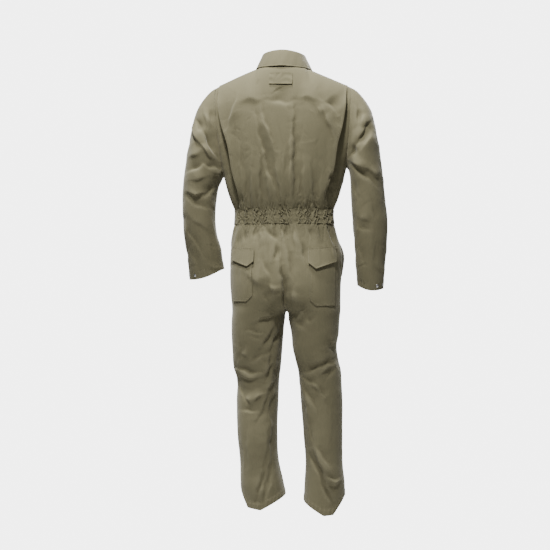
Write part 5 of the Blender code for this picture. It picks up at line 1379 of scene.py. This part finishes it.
def neckPatch():
    x, z = patchGrid(patchSettings["corners"], 44, 26)
    points, normals, height = onBack(x, z)
    down = (z - z.max()) / (z.min() - z.max())
    over = (x.max() - x) / (x.max() - x.min())
    band = bandOf(edgeDistance(points), 0.005, 0.0004)
    wrinkle = 0.0007 * np.sin(x * 120 + 2.5 * np.sin(z * 70 + x * 50)) * np.cos(z * 110 + 2 * np.sin(x * 90))
    wrinkle = wrinkle + 0.0003 * np.sin(z * 260 + 3 * np.sin(x * 70))
    loose = patchSettings["lift"] * down**2 * (0.35 + 0.65 * over)
    points = points + normals * (loose + band + wrinkle)[..., None]
    made = shell("neck_patch", points, normals, height + band, lift=layer, thick=cloth["overlay"])
    stitchAround(points, normals, layer, 0.002)
    sheet(made, patchSettings)


placketSettings = {
    "flat": (0.038, 0.715), "top": -0.056, "low": -0.760, "half": 0.019,
    "wall": 0.0016, "lift": layer + 0.0012,
}


def placketMiddle(z):
    bodyY = torso(angleAt(0 * z + 1e-6, z), z, -1)[..., 1]
    y = np.where(z > body["waistLow"], bodyY, -curve(legTable["left"], "front", z))
    near = ease((0.060 - np.abs(z - (body["waistTop"] + body["waistLow"]) / 2)) / 0.030)
    return y - (body["bandProud"] + 0.0006) * near


def placket():
    z = np.linspace(placketSettings["low"], placketSettings["top"], 230)[:, None]
    x = (spread(16, 0.006, 0.038) * 2 - 1)[None, :] * placketSettings["half"]
    points = np.stack([x + 0 * z, placketMiddle(z) + 0 * x, z + 0 * x], axis=-1)
    normals = normalsOf(points)
    normals = normals * np.sign(-normals[..., 1:2])
    ripple = 0.0006 * np.sin(z * 95 + 2 * np.sin(z * 31)) + 0.0004 * np.sin(z * 260 + x * 60)
    points = points + normals * (ripple + bandOf(edgeDistance(points), 0.006, 0.0004))[..., None]
    wall = placketSettings["wall"]  # twice as thick inwards, down to the panels it lies on
    lift = placketSettings["lift"] - wall / 2
    made = shell("placket", points, normals, ripple, lift=lift, thick=2 * wall)
    stitchAround(points, normals, placketSettings["lift"] + 0.0004, 0.0022)
    sheet(made, placketSettings)


# Collar.

collarSettings = {
    "stand": {"flat": (0.54, 0.066), "area": 0.0248, "reach": math.radians(176)},
    "fall": {"flat": (0.61, 0.071), "area": 0.033, "reach": math.radians(168), "rings": 44},
    "inset": 0.0030,
}


def smoothRings(rows, count):
    # Rings between those of the table, along a smooth curve through them.
    knots = np.linspace(0, 1, len(rows["half"]))
    at = np.linspace(0, 1, count)
    dense = {"knot": knots, **rows}
    return {name: curve(dense, name, at) for name in rows}


def collarRings(rows, turn):
    half, back, front, zBack, zSide, zFront, drop = (column[:, None] for column in rows.values())
    cos = np.cos(turn)[None, :]
    x = half * np.sin(turn)
    y = np.where(cos > 0, back, front) * cos
    end = np.where(cos > 0, zBack, zFront)
    z = zSide + (end - zSide) * np.abs(cos) ** 2.2 - drop * ease(-x / body["neckHalf"])
    return np.stack([x, y, z], axis=-1)


def neckEdge(turn):
    cos = np.cos(turn)
    x = (body["neckHalf"] - collarSettings["inset"]) * np.sin(turn)
    y = (np.where(cos > 0, body["neckBack"], body["neckFront"]) - collarSettings["inset"]) * cos
    z = np.where(cos > 0, topOf(x, 1), topOf(x, -1)) + cloth["seam"]
    return np.stack([x, y, z], axis=-1)


def collarNormals(points):
    normals = normalsOf(points)
    return -normals if np.sum(normals * [1, 1, 0] * points) < 0 else normals


def collarStand():
    settings = collarSettings["stand"]
    turn = np.linspace(-settings["reach"], settings["reach"], 150)
    low, rings = neckEdge(turn)[None], collarRings(standRings, turn)
    share = np.linspace(0, 1, 9)[:, None, None]
    lower = low * (1 - share[:-1]) + rings[:1] * share[:-1]
    points = np.concatenate([lower, rings[:1] * (1 - share) + rings[1:] * share])
    normals = collarNormals(points)
    made = shell("collar_stand", points, normals, thick=0.0012)
    sheet(made, settings)


def collarFall():
    settings = collarSettings["fall"]
    turn = np.linspace(-settings["reach"], settings["reach"], 190)
    points = collarRings(smoothRings(fallRings, settings["rings"]), turn)
    normals = collarNormals(points)
    ripple = 0.0007 * np.sin(turn * 7 + 1.2) + 0.0004 * np.sin(turn * 17 + points[..., 2] * 90)
    band = bandOf(edgeDistance(points, False), 0.007, 0.0004)
    points = points + normals * (ripple * np.linspace(1, 0, settings["rings"])[:, None] + band)[..., None]
    made = shell("collar_fall", points, normals, band, thick=0.0016)
    stitchAround(points, normals, 0.0004, 0.006, False)
    sheet(made, settings)


# Studs.

studSettings = {
    "radius": 0.0052, "height": 0.0026, "segments": 32,
    "profile": (  # shares of the radius and of the height, from the rim to the crown
        (1.0, 0.0), (1.02, 0.20), (1.0, 0.40), (0.90, 0.55),
        (0.80, 0.52), (0.70, 0.62), (0.45, 0.86), (0.20, 0.97),
    ),
}


def studs():
    profile = studSettings["profile"]
    names = [f"front_stud_{k}" for k in range(1, 8)]
    names += [f"cuff_stud_{side}_{k}" for side in sides for k in (1, 2)]
    for name in names:
        source = frame["nodes"][name].data
        verts = np.empty(len(source.vertices) * 3, np.float32)
        source.vertices.foreach_get("co", verts)
        verts = verts.reshape(-1, 3).astype(float)
        middle = verts.mean(axis=0)
        axis = np.linalg.eigh(np.cov((verts - middle).T))[1][:, 0]
        inside = (0.0, 0.0) if "front" in name else (middle[0] * 0.85, -0.03)  # a place inside
        outward = middle - np.array([*inside, middle[2]])
        axis = axis if np.dot(axis, outward) > 0 else -axis
        reach = (verts - middle) @ axis
        seat = middle + axis * reach.min()
        side = unit(np.cross(axis, [0.0, 0.3, 1.0]))
        other = np.cross(axis, side)
        turns = np.linspace(0, 2 * math.pi, studSettings["segments"], endpoint=False)
        points = []
        for share, rise in profile:
            ring = side[None] * np.cos(turns)[:, None] + other[None] * np.sin(turns)[:, None]
            ring = ring * studSettings["radius"] * share
            points.append(seat + ring + axis * studSettings["height"] * rise)
        points = np.concatenate(points + [[seat + axis * studSettings["height"]]])
        count, faces = studSettings["segments"], [tuple(range(studSettings["segments"]))[::-1]]
        for ring in range(len(profile) - 1):
            for k in range(count):
                a, b = ring * count + k, ring * count + (k + 1) % count
                faces.append((a, b, b + count, a + count))
        last = (len(profile) - 1) * count
        faces += [(last + k, last + (k + 1) % count, len(points) - 1) for k in range(count)]
        mesh = bpy.data.meshes.new(name + "_cap")
        mesh.from_pydata(points.tolist(), [], faces)
        mesh.shade_smooth()
        mesh.set_sharp_from_angle(angle=math.radians(50))
        piece(name + "_cap", mesh, name, metal)


print("body")
backPanel()
neckPatch()
placket()
waistbandBack()
collarStand()
collarFall()
for side in sides:
    print(side)
    sideBack(side)
    frontPanel(side)
    sleeve(side)
    cuff(side)
    waistbandFront(side)
    legPanel(side, 1)
    legPanel(side, -1)
    backPocket(side)
    pocketFlap(side)
    sidePocket(side)
studs()
stitchesObject()

# Stage, camera and light.

stage = {
    "floor": -2.35, "floorRadius": 2.7, "floorGrey": 0.50, "fill": 0.11, "backdrop": 5.0,
    "azimuth": 186.0, "distance": 4.0, "height": -0.696, "lens": 75.2, "shift": -9 / 550,
}


def floor():
    mesh = bpy.data.meshes.new("floor")
    turns = np.linspace(0, 2 * math.pi, 64, endpoint=False)
    radius = stage["floorRadius"]
    rim = [(radius * math.cos(a), radius * math.sin(a), stage["floor"]) for a in turns]
    mesh.from_pydata(rim, [], [tuple(range(64))])
    made = bpy.data.objects.new("floor", mesh)
    bpy.context.scene.collection.objects.link(made)
    look, nodes, links, shader = newLook("floor_paint")
    setInputs(shader, {"Base Color": (stage["floorGrey"],) * 3 + (1,)})
    grain = add(nodes, "TexNoise", {"Scale": 40.0})
    roughened(nodes, links, shader, grain.outputs["Fac"], 0.75, 0.9)
    mesh.materials.append(look)


def lamp(name, place, target, size, power):
    data = bpy.data.lights.new(name, "AREA")
    data.shape = "DISK"
    data.size = size
    data.energy = power
    made = bpy.data.objects.new(name, data)
    bpy.context.scene.collection.objects.link(made)
    aim = np.array(target, float) - np.array(place, float)
    flat = math.hypot(aim[0], aim[1])
    made.location = place
    made.rotation_euler = (math.atan2(flat, -aim[2]), 0, math.atan2(-aim[0], aim[1]))


def sun(name, source, soft, strength):
    # A soft distant light that comes from the given direction.
    data = bpy.data.lights.new(name, "SUN")
    data.energy = strength
    data.angle = math.radians(soft)
    made = bpy.data.objects.new(name, data)
    bpy.context.scene.collection.objects.link(made)
    flat = math.hypot(source[0], source[1])
    made.rotation_euler = (math.atan2(flat, source[2]), 0, math.atan2(-source[0], source[1]) + math.pi)


def world():
    made = bpy.data.worlds.new("studio")
    bpy.context.scene.world = made
    made.use_nodes = True
    nodes, links = made.node_tree.nodes, made.node_tree.links
    soft = nodes["Background"]
    setInputs(soft, {"Color": (0.93, 0.96, 1.0, 1), "Strength": stage["fill"]})
    backdrop = add(nodes, "Background", {"Color": (1, 1, 1, 1), "Strength": stage["backdrop"]})
    choice = nodes.new("ShaderNodeMixShader")
    links.new(nodes.new("ShaderNodeLightPath").outputs["Is Camera Ray"], choice.inputs["Fac"])
    links.new(soft.outputs[0], choice.inputs[1])
    links.new(backdrop.outputs[0], choice.inputs[2])
    links.new(choice.outputs[0], nodes["World Output"].inputs["Surface"])


def camera():
    turn, distance = math.radians(stage["azimuth"]), stage["distance"]
    data = bpy.data.cameras.new("camera")
    data.lens = stage["lens"]
    data.sensor_width = 36
    data.shift_x = stage["shift"]
    data.clip_end = 60
    made = bpy.data.objects.new("camera", data)
    bpy.context.scene.collection.objects.link(made)
    made.location = (distance * math.sin(turn), -distance * math.cos(turn), stage["height"])
    made.rotation_euler = (math.pi / 2, 0, turn)
    bpy.context.scene.camera = made


print("stage")
floor()
world()
camera()
lamp("key", (0.15, 1.45, 1.65), (0.02, 0.0, -0.30), 0.30, 74)
sun("top", (0.16, 0.10, 1.0), 8, 4.4)
lamp("front", (-1.2, -3.0, 1.4), (0.0, 0.0, -0.6), 1.0, 70)
